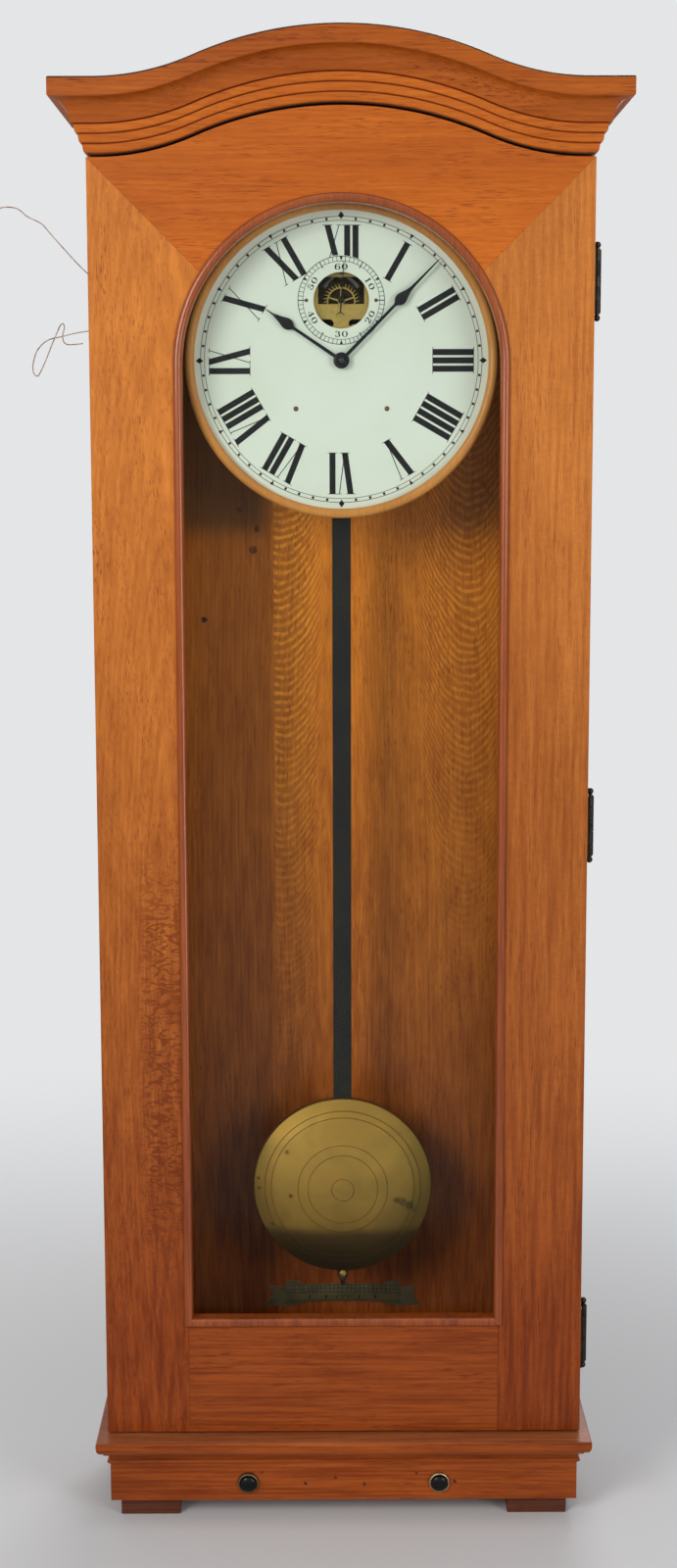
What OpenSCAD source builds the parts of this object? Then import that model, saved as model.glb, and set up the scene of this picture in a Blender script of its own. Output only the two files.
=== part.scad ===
// Wall clock with an arched, glazed door, a seconds pendulum and an electrically wound movement.
// Millimetres. +Z is up, -Y is the front. The origin is the hanger's hole, on the wall's plane.
// Every module is drawn with Z = 0 at the dial's centre, and place() lowers it to the hanger.

/* [Case] */
// Width across the two side boards
case_w = 510; // [490:2:530]
// Depth from the wall to the front edges of the sides
case_d = 168; // [160:1:185]
// Thickness of each side board
side_t = 18; // [14:1:22]
// Thickness of the back board
back_t = 22; // [16:1:26]
// Height of the hanger's hole above the dial's centre
dial_drop = 190; // [178:1:200]
// Height of the door's shoulders above the dial's centre
shoulder_z = 200; // [190:1:215]
// Depth of the door's bottom edge below the dial's centre
sill_drop = 1149.5; // [1140:0.5:1200]
// Rise of the curved top above the shoulders
arch_rise = 50.5; // [40:0.5:60]
// Length of the flat at each end of the curved top
arch_flat = 8; // [5:1:25]
// Radius of the upper curve of the curved top
arch_r = 375; // [340:5:400]

/* [Crown] */
// Height of the crown above the door's top edge
crown_h = 73.5; // [66:0.5:80]
// How far the crown stands out from the case
crown_p = 36; // [30:1:42]
// Height of the crown's flat top band
fillet_h = 19; // [14:1:22]
// Height of one of the three reeds
reed_h = 9.7; // [8:0.1:11]
// Thickness of the curved roof board
roof_t = 16; // [12:1:20]

/* [Base] */
// How far the ledge stands out in front of the door
ledge_front = 26.8; // [20:0.1:34]
// How far the ledge stands out at each side
ledge_side = 13; // [8:0.5:18]
// Thickness of the ledge
ledge_t = 15; // [12:1:20]
// Height of the moulding under the ledge
under_h = 20.5; // [16:0.5:24]
// Height of the apron
apron_h = 43; // [36:1:52]
// Thickness of the apron's boards
apron_t = 20; // [16:1:24]
// Height of the feet
foot_h = 22; // [14:1:28]
// Width of a foot
foot_w = 65; // [50:1:80]
// Depth of a foot
foot_d = 60; // [50:1:80]

/* [Door] */
// How far the door stands past each side of the case
door_over = 2; // [0:0.5:3]
// Thickness of the door
door_t = 22; // [20:1:26]
// Gap between the door and what lies above and below it
door_gap = 2.2; // [1.8:0.1:3]
// Half width of the glazed opening, inside the bead
sight_half = 162.6; // [155:0.1:168]
// Width of the bead round the glass
bead_w = 9.5; // [7:0.5:11]
// Height of the bottom rail
rail_h = 124; // [110:1:140]
// Thickness of the glass
glass_t = 3; // [2:0.5:4]

/* [Dial] */
// Radius of the dial that shows
dial_r = 152.4; // [148:0.1:154]
// Depth of the dial's face behind the door's front
dial_depth = 45; // [43:0.5:47]
// Thickness of the dial plate
dial_t = 1.6; // [1:0.1:2.2]
// Width of the wooden bezel's face
bezel_w = 10; // [7:0.5:10]
// Radius of the seconds aperture
aperture_r = 28.75; // [24:0.25:30]
// Height of the seconds arbor above the dial's centre
seconds_z = 61.3; // [61.3:0.1:61.8]
// Minutes past the hour that the hands show
shown_minutes = 7.45; // [0:0.05:30]
// Length of the minute hand
minute_l = 144; // [120:1:146]
// Length of the hour hand
hour_l = 94; // [80:1:100]
// Length of the seconds hand
seconds_l = 40; // [30:1:42]

/* [Movement] */
// Distance between the movement's two plates
plate_gap = 26; // [26:0.5:27]
// Thickness of each movement plate
plate_t = 3; // [2:0.1:3]
// Half width of the movement plates
plate_half = 60; // [58:1:64]
// Radius of the arbors
arbor_r = 1.5; // [1.2:0.1:1.6]
// Radius of the escape wheel
escape_r = 20; // [18:0.5:20]

/* [Pendulum] */
// Length from the suspension to the bob's centre
pendulum_l = 992; // [960:1:1000]
// Radius of the bob
bob_r = 99.2; // [80:0.1:102]
// Thickness of the bob at its middle
bob_t = 44; // [36:1:48]
// Width of the pendulum rod
rod_w = 20; // [14:1:22]
// Thickness of the pendulum rod
rod_t = 8; // [5:0.5:9]

/* [Fits] */
// Radial clearance of a pivot or a sliding pin in its hole
pivot_fit = 0.05; // [0.03:0.01:0.1]
// Gap between parts that pass each other
run_gap = 0.3; // [0.2:0.05:0.4]

/* [Hidden] */
$fn = 48;
hair = 0.01;

case_half = case_w / 2;
inner_half = case_half - side_t;
door_half = case_half + door_over;
arch_half = case_half - arch_flat;
door_back = -case_d;
door_front = -(case_d + door_t);
case_front = -case_d + 0.5;
sill_z = -sill_drop;
ledge_top = sill_z - door_gap;
ledge_base = ledge_top - ledge_t;
under_base = ledge_base - under_h;
apron_base = under_base - apron_h;
feet_base = apron_base - foot_h;

// The curved top is two arcs that meet in a tangent: one over the middle, one at each end.
arch_low_r = (arch_half * arch_half + arch_rise * arch_rise) / (2 * arch_rise) - arch_r;
arch_joint_x = arch_half * arch_r / (arch_r + arch_low_r);
arch_top = shoulder_z + arch_rise;
header_top = crown_h - 3.5;
function serp(x) = abs(x) < arch_joint_x ? arch_top - arch_r + sqrt(arch_r * arch_r - x * x) :
    abs(x) < arch_half ?
        shoulder_z + arch_low_r - sqrt(arch_low_r * arch_low_r - (abs(x) - arch_half) * (abs(x) - arch_half)) :
    shoulder_z;

// The opening in the door is a half circle on straight sides.
frame_half = sight_half + bead_w / 2;
sight_arch_z = -6.75;
sight_base = sill_z + rail_h + bead_w / 2;
frame_base = sill_z + rail_h;
rebate = 9;
glass_back = door_back - 5;
glass_front = glass_back - glass_t;

hinge_x = door_half + 4.5;
hinge_y = door_back - 2;
knuckle_r = 4;
hinge_h = 80;
hinge_zs = [78, -485, -1046];
knuckles = 5;
leaf_t = 1.5;

dial_front = door_front + dial_depth;
dial_back = dial_front + dial_t;
bezel_front = dial_front - 12;
bezel_r = dial_r + bezel_w;
plate_front = dial_back + 10.4;
plate_inner = plate_front + plate_t;
back_inner = plate_inner + plate_gap;
plate_back = back_inner + plate_t;
pallet_z = seconds_z + escape_r * sqrt(2);
plate_top = pallet_z + 15;
plate_base = -84;
pillar_x = plate_half - 8;
pillar_zs = [plate_base + 8, plate_top - 8];
post_x = 47.3;
post_z = -49.3;

// Wheel train: an hour on the centre arbor is sixty turns of the escape wheel.
centre_teeth = 64;
third_teeth = 60;
leaves = 8;
centre_m = 1;
third_m = 0.9;
centre_dist = centre_m * (centre_teeth + leaves) / 2;
third_dist = third_m * (third_teeth + leaves) / 2;
third_z = (centre_dist * centre_dist - third_dist * third_dist + seconds_z * seconds_z) / (2 * seconds_z);
third_x = sqrt(centre_dist * centre_dist - third_z * third_z);
third_dir = atan2(third_z, third_x);
escape_dir = atan2(seconds_z - third_z, -third_x);
escape_wheel_y = plate_inner + 2.5;
third_wheel_y = escape_wheel_y + 6;
centre_wheel_y = third_wheel_y + 8;
wheel_t = 2;

// Motion work: three to one and then four to one.
cannon_teeth = 12;
minute_teeth = 36;
hour_teeth = 48;
motion_dist = 18;
cannon_m = 2 * motion_dist / (cannon_teeth + minute_teeth);
hour_m = 2 * motion_dist / (cannon_teeth + hour_teeth);
motion_dir = 225;
motion_x = motion_dist * cos(motion_dir);
motion_z = motion_dist * sin(motion_dir);
cannon_r = arbor_r + 1.1;
hour_pipe_r = cannon_r + 1.5;
seconds_hand_y = dial_front - 2.2;
hour_hand_y = seconds_hand_y - 2;
minute_hand_y = hour_hand_y - 2.5;
hand_t = 1;
hand_angle = 90 - 6 * shown_minutes;
hour_angle = 90 - 30 * (10 + shown_minutes / 60);
seconds_angle = 86;

coil_x = 16;
coil_y = (plate_inner + back_inner) / 2;
core_top = -40;
core_r = 4;
coil_r = 9.5;
coil_l = 28;
armature_x = -34;
armature_z = core_top + 4.7;

pendulum_y = plate_back + 9;
bob_z = pallet_z - pendulum_l;
rod_top = pallet_z - 29.6;
stud_r = 2.5;
beat_z = -1054;

button_x = 104.5;
button_z = under_base - 22.5;
apron_front = door_front + 4;
apron_back = apron_front + apron_t;
button_travel = 2;
plunger_r = 3;

lead_r = 0.6;
lead_y = -30;
upper_exit_z = 90;
lower_exit_z = 37;

module place() { translate([0, 0, -dial_drop]) children(); }
module along_y(y0, y1) { translate([0, y1, 0]) rotate([90, 0, 0]) linear_extrude(y1 - y0) children(); }
module along_x(x0, x1) { translate([x0, 0, 0]) rotate([90, 0, 90]) linear_extrude(x1 - x0) children(); }
module along_z(z0, z1) { translate([0, 0, z0]) linear_extrude(z1 - z0) children(); }
module rod_y(r, y0, y1, x = 0, z = 0) { translate([x, y1, z]) rotate([90, 0, 0]) cylinder(r = r, h = y1 - y0); }
module rod_z(r, z0, z1, x = 0, y = 0) { translate([x, y, z0]) cylinder(r = r, h = z1 - z0); }
module block(x0, x1, y0, y1, z0, z1) { translate([x0, y0, z0]) cube([x1 - x0, y1 - y0, z1 - z0]); }
module rect(x0, x1, y0, y1) { translate([x0, y0]) square([x1 - x0, y1 - y0]); }
module both_sides() { children(); mirror([1, 0, 0]) children(); }

// Points of the curved top, shifted up by dz, from left to right within +-half.
curve_steps = 72;
function curve_points(dz, half) = concat([[-half, serp(half) + dz]],
    [for (s = [0 : curve_steps]) let (x = arch_half * (2 * s / curve_steps - 1))
        if (abs(x) < half - 0.5) [x, serp(x) + dz]],
    [[half, serp(half) + dz]]);
function reversed(list) = [for (i = [len(list) - 1 : -1 : 0]) list[i]];
module under_curve(dz, half, base) polygon(concat(curve_points(dz, half), [[half, base], [-half, base]]));
module curve_band(dz0, dz1, half) polygon(concat(curve_points(dz1, half), reversed(curve_points(dz0, half))));

// Outline of the arched opening, with its sides at +-half and its foot at base.
module arched(half, base) {
    rect(-half, half, base, sight_arch_z);
    translate([0, sight_arch_z]) circle(r = half, $fn = 128);
}

// A clock tooth is a flat-topped wedge, centred on the direction given by phase.
module gear(teeth, m, phase, add = 0.85, ded = 1.1, root_w = 0.52, tip_w = 0.22) {
    pitch = 360 / teeth;
    root = m * teeth / 2 - ded * m;
    tip = m * teeth / 2 + add * m;
    polygon([for (i = [0 : teeth - 1]) for (k = [0 : 3])
        let (r = (k == 0 || k == 3) ? root : tip,
             w = (k == 0 || k == 3) ? root_w : tip_w,
             a = phase + i * pitch + (k < 2 ? -1 : 1) * w * pitch / 2)
        [r * cos(a), r * sin(a)]]);
}
module wheel_spokes(rim_r, hub_r, arms, turn) {
    circle(r = hub_r);
    for (i = [0 : arms - 1]) rotate(turn + i * 360 / arms) rect(0, rim_r, -1.2, 1.2);
}
// A wheel blank: teeth outside, a rim, and arms to a hub.
module spoked_wheel(teeth, m, phase, rim_w, hub_r, arms) {
    rim_r = m * teeth / 2 - 1.1 * m - rim_w;
    difference() {
        gear(teeth, m, phase);
        difference() { circle(r = rim_r); wheel_spokes(rim_r + 1, hub_r, arms, phase); }
    }
}

function unit(v) = v / norm(v);
function heading(p, i) = unit(p[min(i + 1, len(p) - 1)] - p[max(i - 1, 0)]);
function ring_at(c, t, r, sides) =
    let (s = unit(cross(t, [0, 1, 0])), b = cross(s, t))
    [for (k = [0 : sides - 1]) c + r * (cos(360 * k / sides) * s + sin(360 * k / sides) * b)];
module tube(route, r, sides = 8) {
    last = len(route) - 1;
    points = [for (i = [0 : last]) each ring_at(route[i], heading(route, i), r, sides)];
    walls = [for (i = [0 : last - 1]) for (k = [0 : sides - 1])
        let (a = i * sides + k, b = i * sides + (k + 1) % sides)
        each [[a, b, b + sides], [a, b + sides, a + sides]]];
    first_cap = [for (k = [0 : sides - 1]) sides - 1 - k];
    last_cap = [for (k = [0 : sides - 1]) last * sides + k];
    polyhedron(points, concat(walls, [first_cap, last_cap]), convexity = 6);
}

// Case
hanger_w = 60;
hanger_h = 90;
hanger_t = 3;
screw_in = 47;
module back_board() color("peru") difference() {
    along_y(-back_t, 0) under_curve(header_top - roof_t, inner_half, ledge_top);
    block(-hanger_w / 2, hanger_w / 2, -hanger_t, 1, dial_drop - hanger_h / 2, dial_drop + hanger_h / 2);
    rod_y(8, -15, 1, 0, dial_drop);
    for (x = [screw_in - inner_half, inner_half - screw_in]) for (z = [-1040, 110])
        rod_y(3, -back_t - 1, 1, x, z);
}
module side_board() {
    difference() {
        block(inner_half, case_half, case_front, 0, ledge_top, shoulder_z + header_top - roof_t);
        if ($children > 0) children();
    }
}
module right_side() color("sienna") side_board();
module left_side() color("sienna") mirror([1, 0, 0]) difference() {
    side_board();
    for (z = [upper_exit_z, lower_exit_z])
        translate([case_half + 1, lead_y, z]) rotate([0, -90, 0]) cylinder(r = lead_r + 0.4, h = side_t + 2);
}
module roof_board() color("sienna") along_y(case_front, 0) curve_band(header_top - roof_t, header_top, case_half);
module header() color("chocolate")
    along_y(door_front, case_front) curve_band(door_gap, header_top, case_half);

// Crown profile as points [distance out, height over the door's top edge].
reed_step = 4;
reed_foot = 1.5;
reed_n = 3;
cove_z = door_gap + reed_n * reed_h;
cove_top = crown_h - fillet_h;
cove_foot = reed_foot + reed_n * reed_step + 2.5;
function reed_points(i) = [for (a = [15 : 30 : 165])
    [reed_foot + i * reed_step + 3 * sin(a), door_gap + i * reed_h + reed_h * (1 - cos(a)) / 2]];
function cove_points() = [for (a = [0 : 15 : 90])
    [crown_p - 2 - (crown_p - 2 - cove_foot) * cos(a), cove_z + (cove_top - cove_z) * sin(a)]];
crown_outline = concat([[0, door_gap]], [for (i = [0 : reed_n - 1]) each reed_points(i)], cove_points(),
    [[crown_p, cove_top], [crown_p, crown_h - 3], [crown_p - 3, crown_h], [0, crown_h]]);
crown_steps = 36;
module crown_front() color("peru") {
    n = len(crown_outline);
    mitre_ring = [for (q = crown_outline) [case_half + q[0], door_front - q[0], shoulder_z + q[1]]];
    rings = concat([[for (p = mitre_ring) [-p[0], p[1], p[2]]]],
        [for (s = [0 : crown_steps]) let (x = -arch_half + 2 * arch_half * s / crown_steps)
            [for (q = crown_outline) [x, door_front - q[0], serp(x) + q[1]]]],
        [mitre_ring]);
    last = len(rings) - 1;
    points = [for (r = rings) each r];
    walls = [for (i = [0 : last - 1]) for (k = [0 : n - 1])
        let (a = i * n + k, b = i * n + (k + 1) % n)
        each [[a, a + n, b + n], [a, b + n, b]]];
    polyhedron(points, concat(walls, [[for (k = [0 : n - 1]) k], [for (k = [0 : n - 1]) last * n + n - 1 - k]]));
}
module crown_returns() color("peru") both_sides() intersection() {
    along_y(door_front - crown_p - 1, 0)
        polygon([for (q = crown_outline) [case_half + q[0], shoulder_z + q[1]]]);
    along_z(shoulder_z, shoulder_z + crown_h + 1)
        polygon([[case_half - 1, 0], [case_half + crown_p + 1, 0],
            [case_half + crown_p + 1, door_front - crown_p - 1], [case_half - 1, door_front + 1]]);
}

// Edge of the ledge as points [distance in, distance down]: a soft top corner over a quarter round.
ledge_round = 6;
ledge_edge = concat([[2, 0], [0.6, 0.6], [0, 2]],
    [for (a = [0 : 15 : 90]) [ledge_round * (1 - cos(a)), 5 + (ledge_t - 6) * sin(a)]],
    [[ledge_round + 1.2, ledge_t - 1], [ledge_round + 1.2, ledge_t]]);
function mirrored(edge) = [for (q = reversed(edge)) [-q[0], q[1]]];
function ledge_out(reach) = [for (q = ledge_edge) [reach - q[0], ledge_top - q[1]]];
module base_ledge() color("saddlebrown") intersection() {
    along_x(-case_half - ledge_side - 1, case_half + ledge_side + 1)
        polygon(concat([[0, ledge_base], [0, ledge_top]],
            reversed(mirrored(ledge_out(ledge_front - door_front)))));
    along_y(door_front - ledge_front - 1, 0)
        polygon(concat(ledge_out(case_half + ledge_side), mirrored(ledge_out(case_half + ledge_side))));
}
// Moulding under the ledge: a cove that runs in from top_x to foot_x, then a bead.
bead_r = 2.2;
function under_edge(top_x, foot_x) = concat([[top_x, ledge_base]],
    [for (a = [0 : 15 : 90]) [top_x - (top_x - foot_x) * sin(a),
        ledge_base - 2 - (under_h - 3.2 - 2 * bead_r) * (1 - cos(a))]],
    [for (a = [75 : -30 : -75]) [foot_x + bead_r * cos(a), under_base + 1 + bead_r + bead_r * sin(a)]],
    [[foot_x, under_base + 0.6], [foot_x, under_base]]);
module base_moulding() color("saddlebrown") intersection() {
    along_x(-case_half - ledge_side, case_half + ledge_side)
        polygon(concat([[0, ledge_base], [0, under_base]],
            mirrored(under_edge(ledge_front - door_front - ledge_round - 2.5, 2 - apron_front))));
    along_y(door_front - ledge_front, 0)
        polygon(concat(under_edge(case_half + ledge_side - ledge_round - 1.5, case_half + 1),
            mirrored(under_edge(case_half + ledge_side - ledge_round - 1.5, case_half + 1))));
}
module apron() color("saddlebrown") difference() {
    union() {
        block(-case_half, case_half, apron_front, apron_back, apron_base, under_base);
        both_sides() block(inner_half, case_half, apron_back - hair, 0, apron_base, under_base);
    }
    both_sides() rod_y(plunger_r + pivot_fit, apron_front - 1, apron_back + 1, button_x, button_z);
}
foot_in = 10;
module feet() color("saddlebrown") both_sides()
    block(case_half - foot_in - foot_w, case_half - foot_in, apron_front + foot_in + 2,
        apron_front + foot_in + 2 + foot_d, feet_base, apron_base);
module hanger_plate() color("silver") difference() {
    block(-hanger_w / 2, hanger_w / 2, -hanger_t, 0, dial_drop - hanger_h / 2, dial_drop + hanger_h / 2);
    rod_y(4, -hanger_t - 1, 1, 0, dial_drop);
    for (z = [10 - hanger_h / 2, hanger_h / 2 - 10]) rod_y(2, -hanger_t - 1, 1, 0, dial_drop + z);
}

// Hinges: five knuckles on a ball-ended pin, three on the case and two on the door.
knuckle_h = (hinge_h - 12) / knuckles;
module each_hinge() for (z = hinge_zs) translate([hinge_x, hinge_y, z]) children();
module knuckle(i) {
    z0 = -(hinge_h - 12) / 2 + i * knuckle_h + run_gap / 2;
    difference() {
        union() {
            rod_z(knuckle_r, z0, z0 + knuckle_h - run_gap);
            translate([0, 0, z0]) children();
        }
        rod_z(2 + pivot_fit, z0 - 1, z0 + knuckle_h + 1);
    }
}
module case_hinge_leaves() color("dimgray") each_hinge() {
    plate_x = case_half - hinge_x;
    for (i = [0, 2, 4]) knuckle(i) block(plate_x, -1, 2.6, 4, 0, knuckle_h - run_gap);
    block(plate_x, plate_x + leaf_t, 2.6, 30, -34 + run_gap / 2, 34 - run_gap / 2);
}
module door_hinge_leaves() color("dimgray") each_hinge() {
    plate_x = door_half - hinge_x;
    for (i = [1, 3]) knuckle(i) block(plate_x, -1, -3.4, -1.9, 0, knuckle_h - run_gap);
    block(plate_x, plate_x + leaf_t, -18, -4.6, -34 + run_gap / 2, 34 - run_gap / 2);
    for (i = [1, 3]) block(plate_x, plate_x + leaf_t, -5, -1.9,
        -34 + i * knuckle_h + run_gap / 2, -34 + (i + 1) * knuckle_h - run_gap / 2);
}
module hinge_pins() color("black") each_hinge() {
    rod_z(2, -hinge_h / 2 + 4, hinge_h / 2 - 4);
    for (s = [-1, 1]) {
        rod_z(3, s * (hinge_h / 2 - 5) - 0.9, s * (hinge_h / 2 - 5) + 0.9);
        translate([0, 0, s * (hinge_h / 2 - 3.4)]) sphere(r = 3.6);
    }
}

// Door
module stile_shape() {
    difference() {
        union() {
            rect(frame_half, door_half, sill_z, sight_arch_z);
            polygon([[frame_half - 40, sight_arch_z], [door_half, sight_arch_z], [door_half, shoulder_z],
                [frame_half - 40, shoulder_z - (door_half - frame_half + 40)]]);
        }
        translate([0, sight_arch_z]) circle(r = frame_half, $fn = 128);
        rect(0, frame_half, sill_z - 1, sight_arch_z);
    }
}
module stile() difference() {
    along_y(door_front, door_back) stile_shape();
    along_y(glass_front, door_back + 1) arched(frame_half + rebate, frame_base - rebate);
}
module door_left_stile() color("peru") mirror([1, 0, 0]) stile();
module door_right_stile() color("peru") stile();
module door_top_rail() color("peru") difference() {
    along_y(door_front, door_back) difference() {
        intersection() {
            under_curve(0, door_half, 0);
            polygon([[-door_half, shoulder_z], [-door_half, arch_top + 1], [door_half, arch_top + 1],
                [door_half, shoulder_z], [door_half - shoulder_z, 0], [shoulder_z - door_half, 0]]);
        }
        translate([0, sight_arch_z]) circle(r = frame_half, $fn = 128);
    }
    along_y(glass_front, door_back + 1) arched(frame_half + rebate, frame_base - rebate);
}
module door_bottom_rail() color("peru") difference() {
    block(-frame_half, frame_half, door_front, door_back, sill_z, frame_base);
    along_y(glass_front, door_back + 1) arched(frame_half + rebate, frame_base - rebate);
}
module door_glass() color("lightblue", 0.3)
    along_y(glass_front, glass_back) arched(frame_half + rebate - 0.5, frame_base - rebate + 0.5);
module glazing_bead() color("brown") {
    along_y(door_front - hair, glass_front) difference() {
        arched(frame_half, frame_base);
        arched(sight_half, sight_base);
    }
    difference() {
        along_y(door_front - 4.5, door_front) difference() {
            arched(frame_half + bead_w / 2, frame_base - bead_w / 2);
            arched(sight_half, sight_base);
        }
        along_y(door_front - 5, door_front - 3) difference() {
            arched(frame_half + bead_w, frame_base - bead_w);
            arched(frame_half + bead_w / 4, frame_base - bead_w / 4);
        }
    }
}
module glass_stops() color("sienna") along_y(glass_back, door_back) difference() {
    arched(frame_half + rebate - 0.5, frame_base - rebate + 0.5);
    arched(frame_half, frame_base);
}
module door_catch() color("goldenrod") {
    block(-inner_half + run_gap, -inner_half + 9, door_back, door_back + 10, -520, -490);
    translate([-inner_half + 6, door_back + 12, -505]) sphere(r = 4);
}

// Dial
module dial_plate() color("ivory") difference() {
    rod_y(dial_r + 4, dial_front, dial_back);
    rod_y(aperture_r, dial_front - 1, dial_back + 1, 0, seconds_z);
    rod_y(hour_pipe_r + 1, dial_front - 1, dial_back + 1);
    both_sides() rod_y(arbor_r + 0.1, dial_front - 1, dial_back + 1, post_x, post_z);
}
module bezel() color("peru") difference() {
    rod_y(bezel_r, bezel_front, dial_back + 3);
    rod_y(dial_r, bezel_front - 1, dial_front);
    rod_y(dial_r + 4.05, dial_front, dial_back + 4);
}
ring_w = 0.6;
track_out = 146;
track_in = 142;
numeral_out = 137.5;
numeral_in = 94.5;
bar_w = 6.2;
thin_w = 1;
numerals = ["XII", "I", "II", "III", "IIII", "V", "VI", "VII", "VIII", "IX", "X", "XI"];
function glyph_w(c) = c == "I" ? 8.5 : 20;
function text_w(s, i = 0) = i >= len(s) ? 0 : glyph_w(s[i]) + text_w(s, i + 1);
module stroke(x_in, x_out, w) polygon([[x_in - w / 2, numeral_in], [x_in + w / 2, numeral_in],
    [x_out + w / 2, numeral_out], [x_out - w / 2, numeral_out]]);
module glyph(c) {
    if (c == "I") stroke(0, 0, bar_w);
    if (c == "V") { stroke(0.5, -5.5, bar_w); stroke(0.5, 6.5, thin_w); }
    if (c == "X") { stroke(5.5, -5.5, bar_w); stroke(-6, 6, thin_w); }
}
module numeral(s) for (i = [0 : len(s) - 1])
    translate([text_w(s) / -2 + (text_w(s) - text_w(s, i)) + glyph_w(s[i]) / 2, 0]) glyph(s[i]);
module dial_numerals() color("black") along_y(dial_front - 0.2, dial_front) difference() {
    union() {
        for (h = [0 : 11]) rotate(-30 * h) numeral(numerals[h]);
        for (r = [track_in, track_out]) difference() { circle(r = r + ring_w / 2); circle(r = r - ring_w / 2); }
        for (i = [0 : 59]) rotate(-6 * i) translate([0, (track_in + track_out) / 2])
            rotate(i % 15 == 0 ? 45 : 0) square(i % 15 == 0 ? 5.5 : 2.6, center = true);
        translate([0, seconds_z]) for (r = [aperture_r + 11, aperture_r + 15.5])
            difference() { circle(r = r + 0.3); circle(r = r - 0.3); }
    }
    translate([0, seconds_z]) difference() {
        circle(r = aperture_r + 17);
        difference() { circle(r = aperture_r + 15.9); circle(r = aperture_r + 15.1); }
        difference() { circle(r = aperture_r + 11.4); circle(r = aperture_r + 10.6); }
    }
}
module dial_posts() color("goldenrod") both_sides() difference() {
    rod_y(4, dial_back, plate_front, post_x, post_z);
    rod_y(arbor_r + 0.05, dial_back - 1, dial_back + 7, post_x, post_z);
}
module dial_screws() color("goldenrod") both_sides() {
    rod_y(arbor_r, dial_front, dial_back + 6, post_x, post_z);
    rod_y(2.6, dial_front - 1.3, dial_front, post_x, post_z);
}

// Hands: a stem, a leaf and a fine tip, as half widths at distances from the centre.
hand_boss = 8.3;
minute_leaf = 87;
hour_leaf = 67;
module hand_shape(leaf_at, length) {
    shape = [[0, 1.9], [leaf_at - 7, 1.5], [leaf_at - 5, 3.9], [leaf_at - 1, 5.9], [leaf_at + 3, 5.4],
        [leaf_at + 9, 3.3], [leaf_at + 16, 1.8], [length - 4, 0.8], [length, 0.4]];
    polygon(concat(shape, [for (i = [len(shape) - 1 : -1 : 0]) [shape[i][0], -shape[i][1]]]));
}
module hand(y, angle, leaf_at, length, bore) difference() {
    union() {
        along_y(y, y + hand_t) rotate(angle) hand_shape(leaf_at, length);
        rod_y(hand_boss, y, y + hand_t);
    }
    rod_y(bore, y - 1, y + hand_t + 1);
}
module minute_hand() color("black")
    hand(minute_hand_y, hand_angle, minute_leaf, minute_l, cannon_r + 0.02);
module hour_hand() color("black")
    hand(hour_hand_y, hour_angle, hour_leaf, hour_l, hour_pipe_r + 0.02);
module hand_nut() color("black") difference() {
    union() {
        rod_y(4.2, minute_hand_y - 1.2, minute_hand_y);
        translate([0, minute_hand_y - 1.2, 0]) intersection() {
            translate([0, 1.4, 0]) sphere(r = 4.4);
            block(-5, 5, -5, 0, -5, 5);
        }
    }
    rod_y(arbor_r + 0.02, minute_hand_y - 3, minute_hand_y + 1);
}
module seconds_hand() color("black") translate([0, 0, seconds_z]) along_y(seconds_hand_y, seconds_hand_y + 0.8)
    rotate(seconds_angle) difference() {
        union() {
            circle(r = 3.4);
            polygon([[0, -0.8], [seconds_l, -0.3], [seconds_l, 0.3], [0, 0.8]]);
            rect(-9, 0, -0.7, 0.7);
            translate([-13, 0]) difference() {
                circle(r = 4.2);
                circle(r = 3);
                rect(-5, -0.5, -5, 5);
            }
        }
        circle(r = arbor_r + 0.02);
    }

// Movement
module plate_blank(z0) {
    rect(-plate_half, plate_half, z0, plate_top);
}
module pivot_holes() {
    circle(r = arbor_r + pivot_fit);
    translate([third_x, third_z]) circle(r = arbor_r + pivot_fit);
    translate([0, seconds_z]) circle(r = arbor_r + pivot_fit);
    translate([0, pallet_z]) circle(r = arbor_r + pivot_fit);
    translate([armature_x, armature_z]) circle(r = arbor_r + pivot_fit);
    both_sides() for (z = pillar_zs) translate([pillar_x, z]) circle(r = 2);
}
ring_z = seconds_z - 38.6;
module front_plate() color("goldenrod") {
    along_y(plate_front, plate_inner) difference() {
        union() {
            difference() {
                plate_blank(plate_base);
                rect(-24, 24, seconds_z - 3, pallet_z - 3.5);
                both_sides() {
                    translate([12, seconds_z - 22.8]) circle(r = 4.2);
                    rect(12, 30, seconds_z - 27, seconds_z - 18.6);
                }
            }
            translate([0, seconds_z]) circle(r = 3.4);
            translate([third_x, third_z]) circle(r = 4);
        }
        translate([0, ring_z]) circle(r = 11);
        pivot_holes();
    }
    along_y(plate_front - 1.2, plate_front) translate([0, ring_z]) difference() {
        circle(r = 13.5);
        circle(r = 11);
    }
    rod_y(arbor_r, plate_front - 8, plate_front + hair, motion_x, motion_z);
}
module back_plate() color("goldenrod") along_y(back_inner, plate_back) difference() {
    plate_blank(plate_base);
    pivot_holes();
    translate([0, seconds_z - 8]) rect(-7, 7, -22, -6);
}
module pillars() color("goldenrod") both_sides() for (z = pillar_zs) {
    rod_y(4, plate_inner, back_inner, pillar_x, z);
    rod_y(2, plate_front, plate_back, pillar_x, z);
}
module movement_bracket() color("dimgray") {
    both_sides() for (z = pillar_zs) block(pillar_x - 5, pillar_x + 5, plate_back, -back_t - 5, z - 5, z + 5);
    block(-plate_half, plate_half, -back_t - 6, -back_t, plate_base, plate_top + 22);
}
module suspension_cock() color("dimgray") difference() {
    block(-12, 12, plate_back + 1, -back_t - 6, pallet_z + 5, pallet_z + 20);
    block(-0.85, 0.85, pendulum_y - 7, pendulum_y + 7, pallet_z + 4, pallet_z + 14);
}
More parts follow.
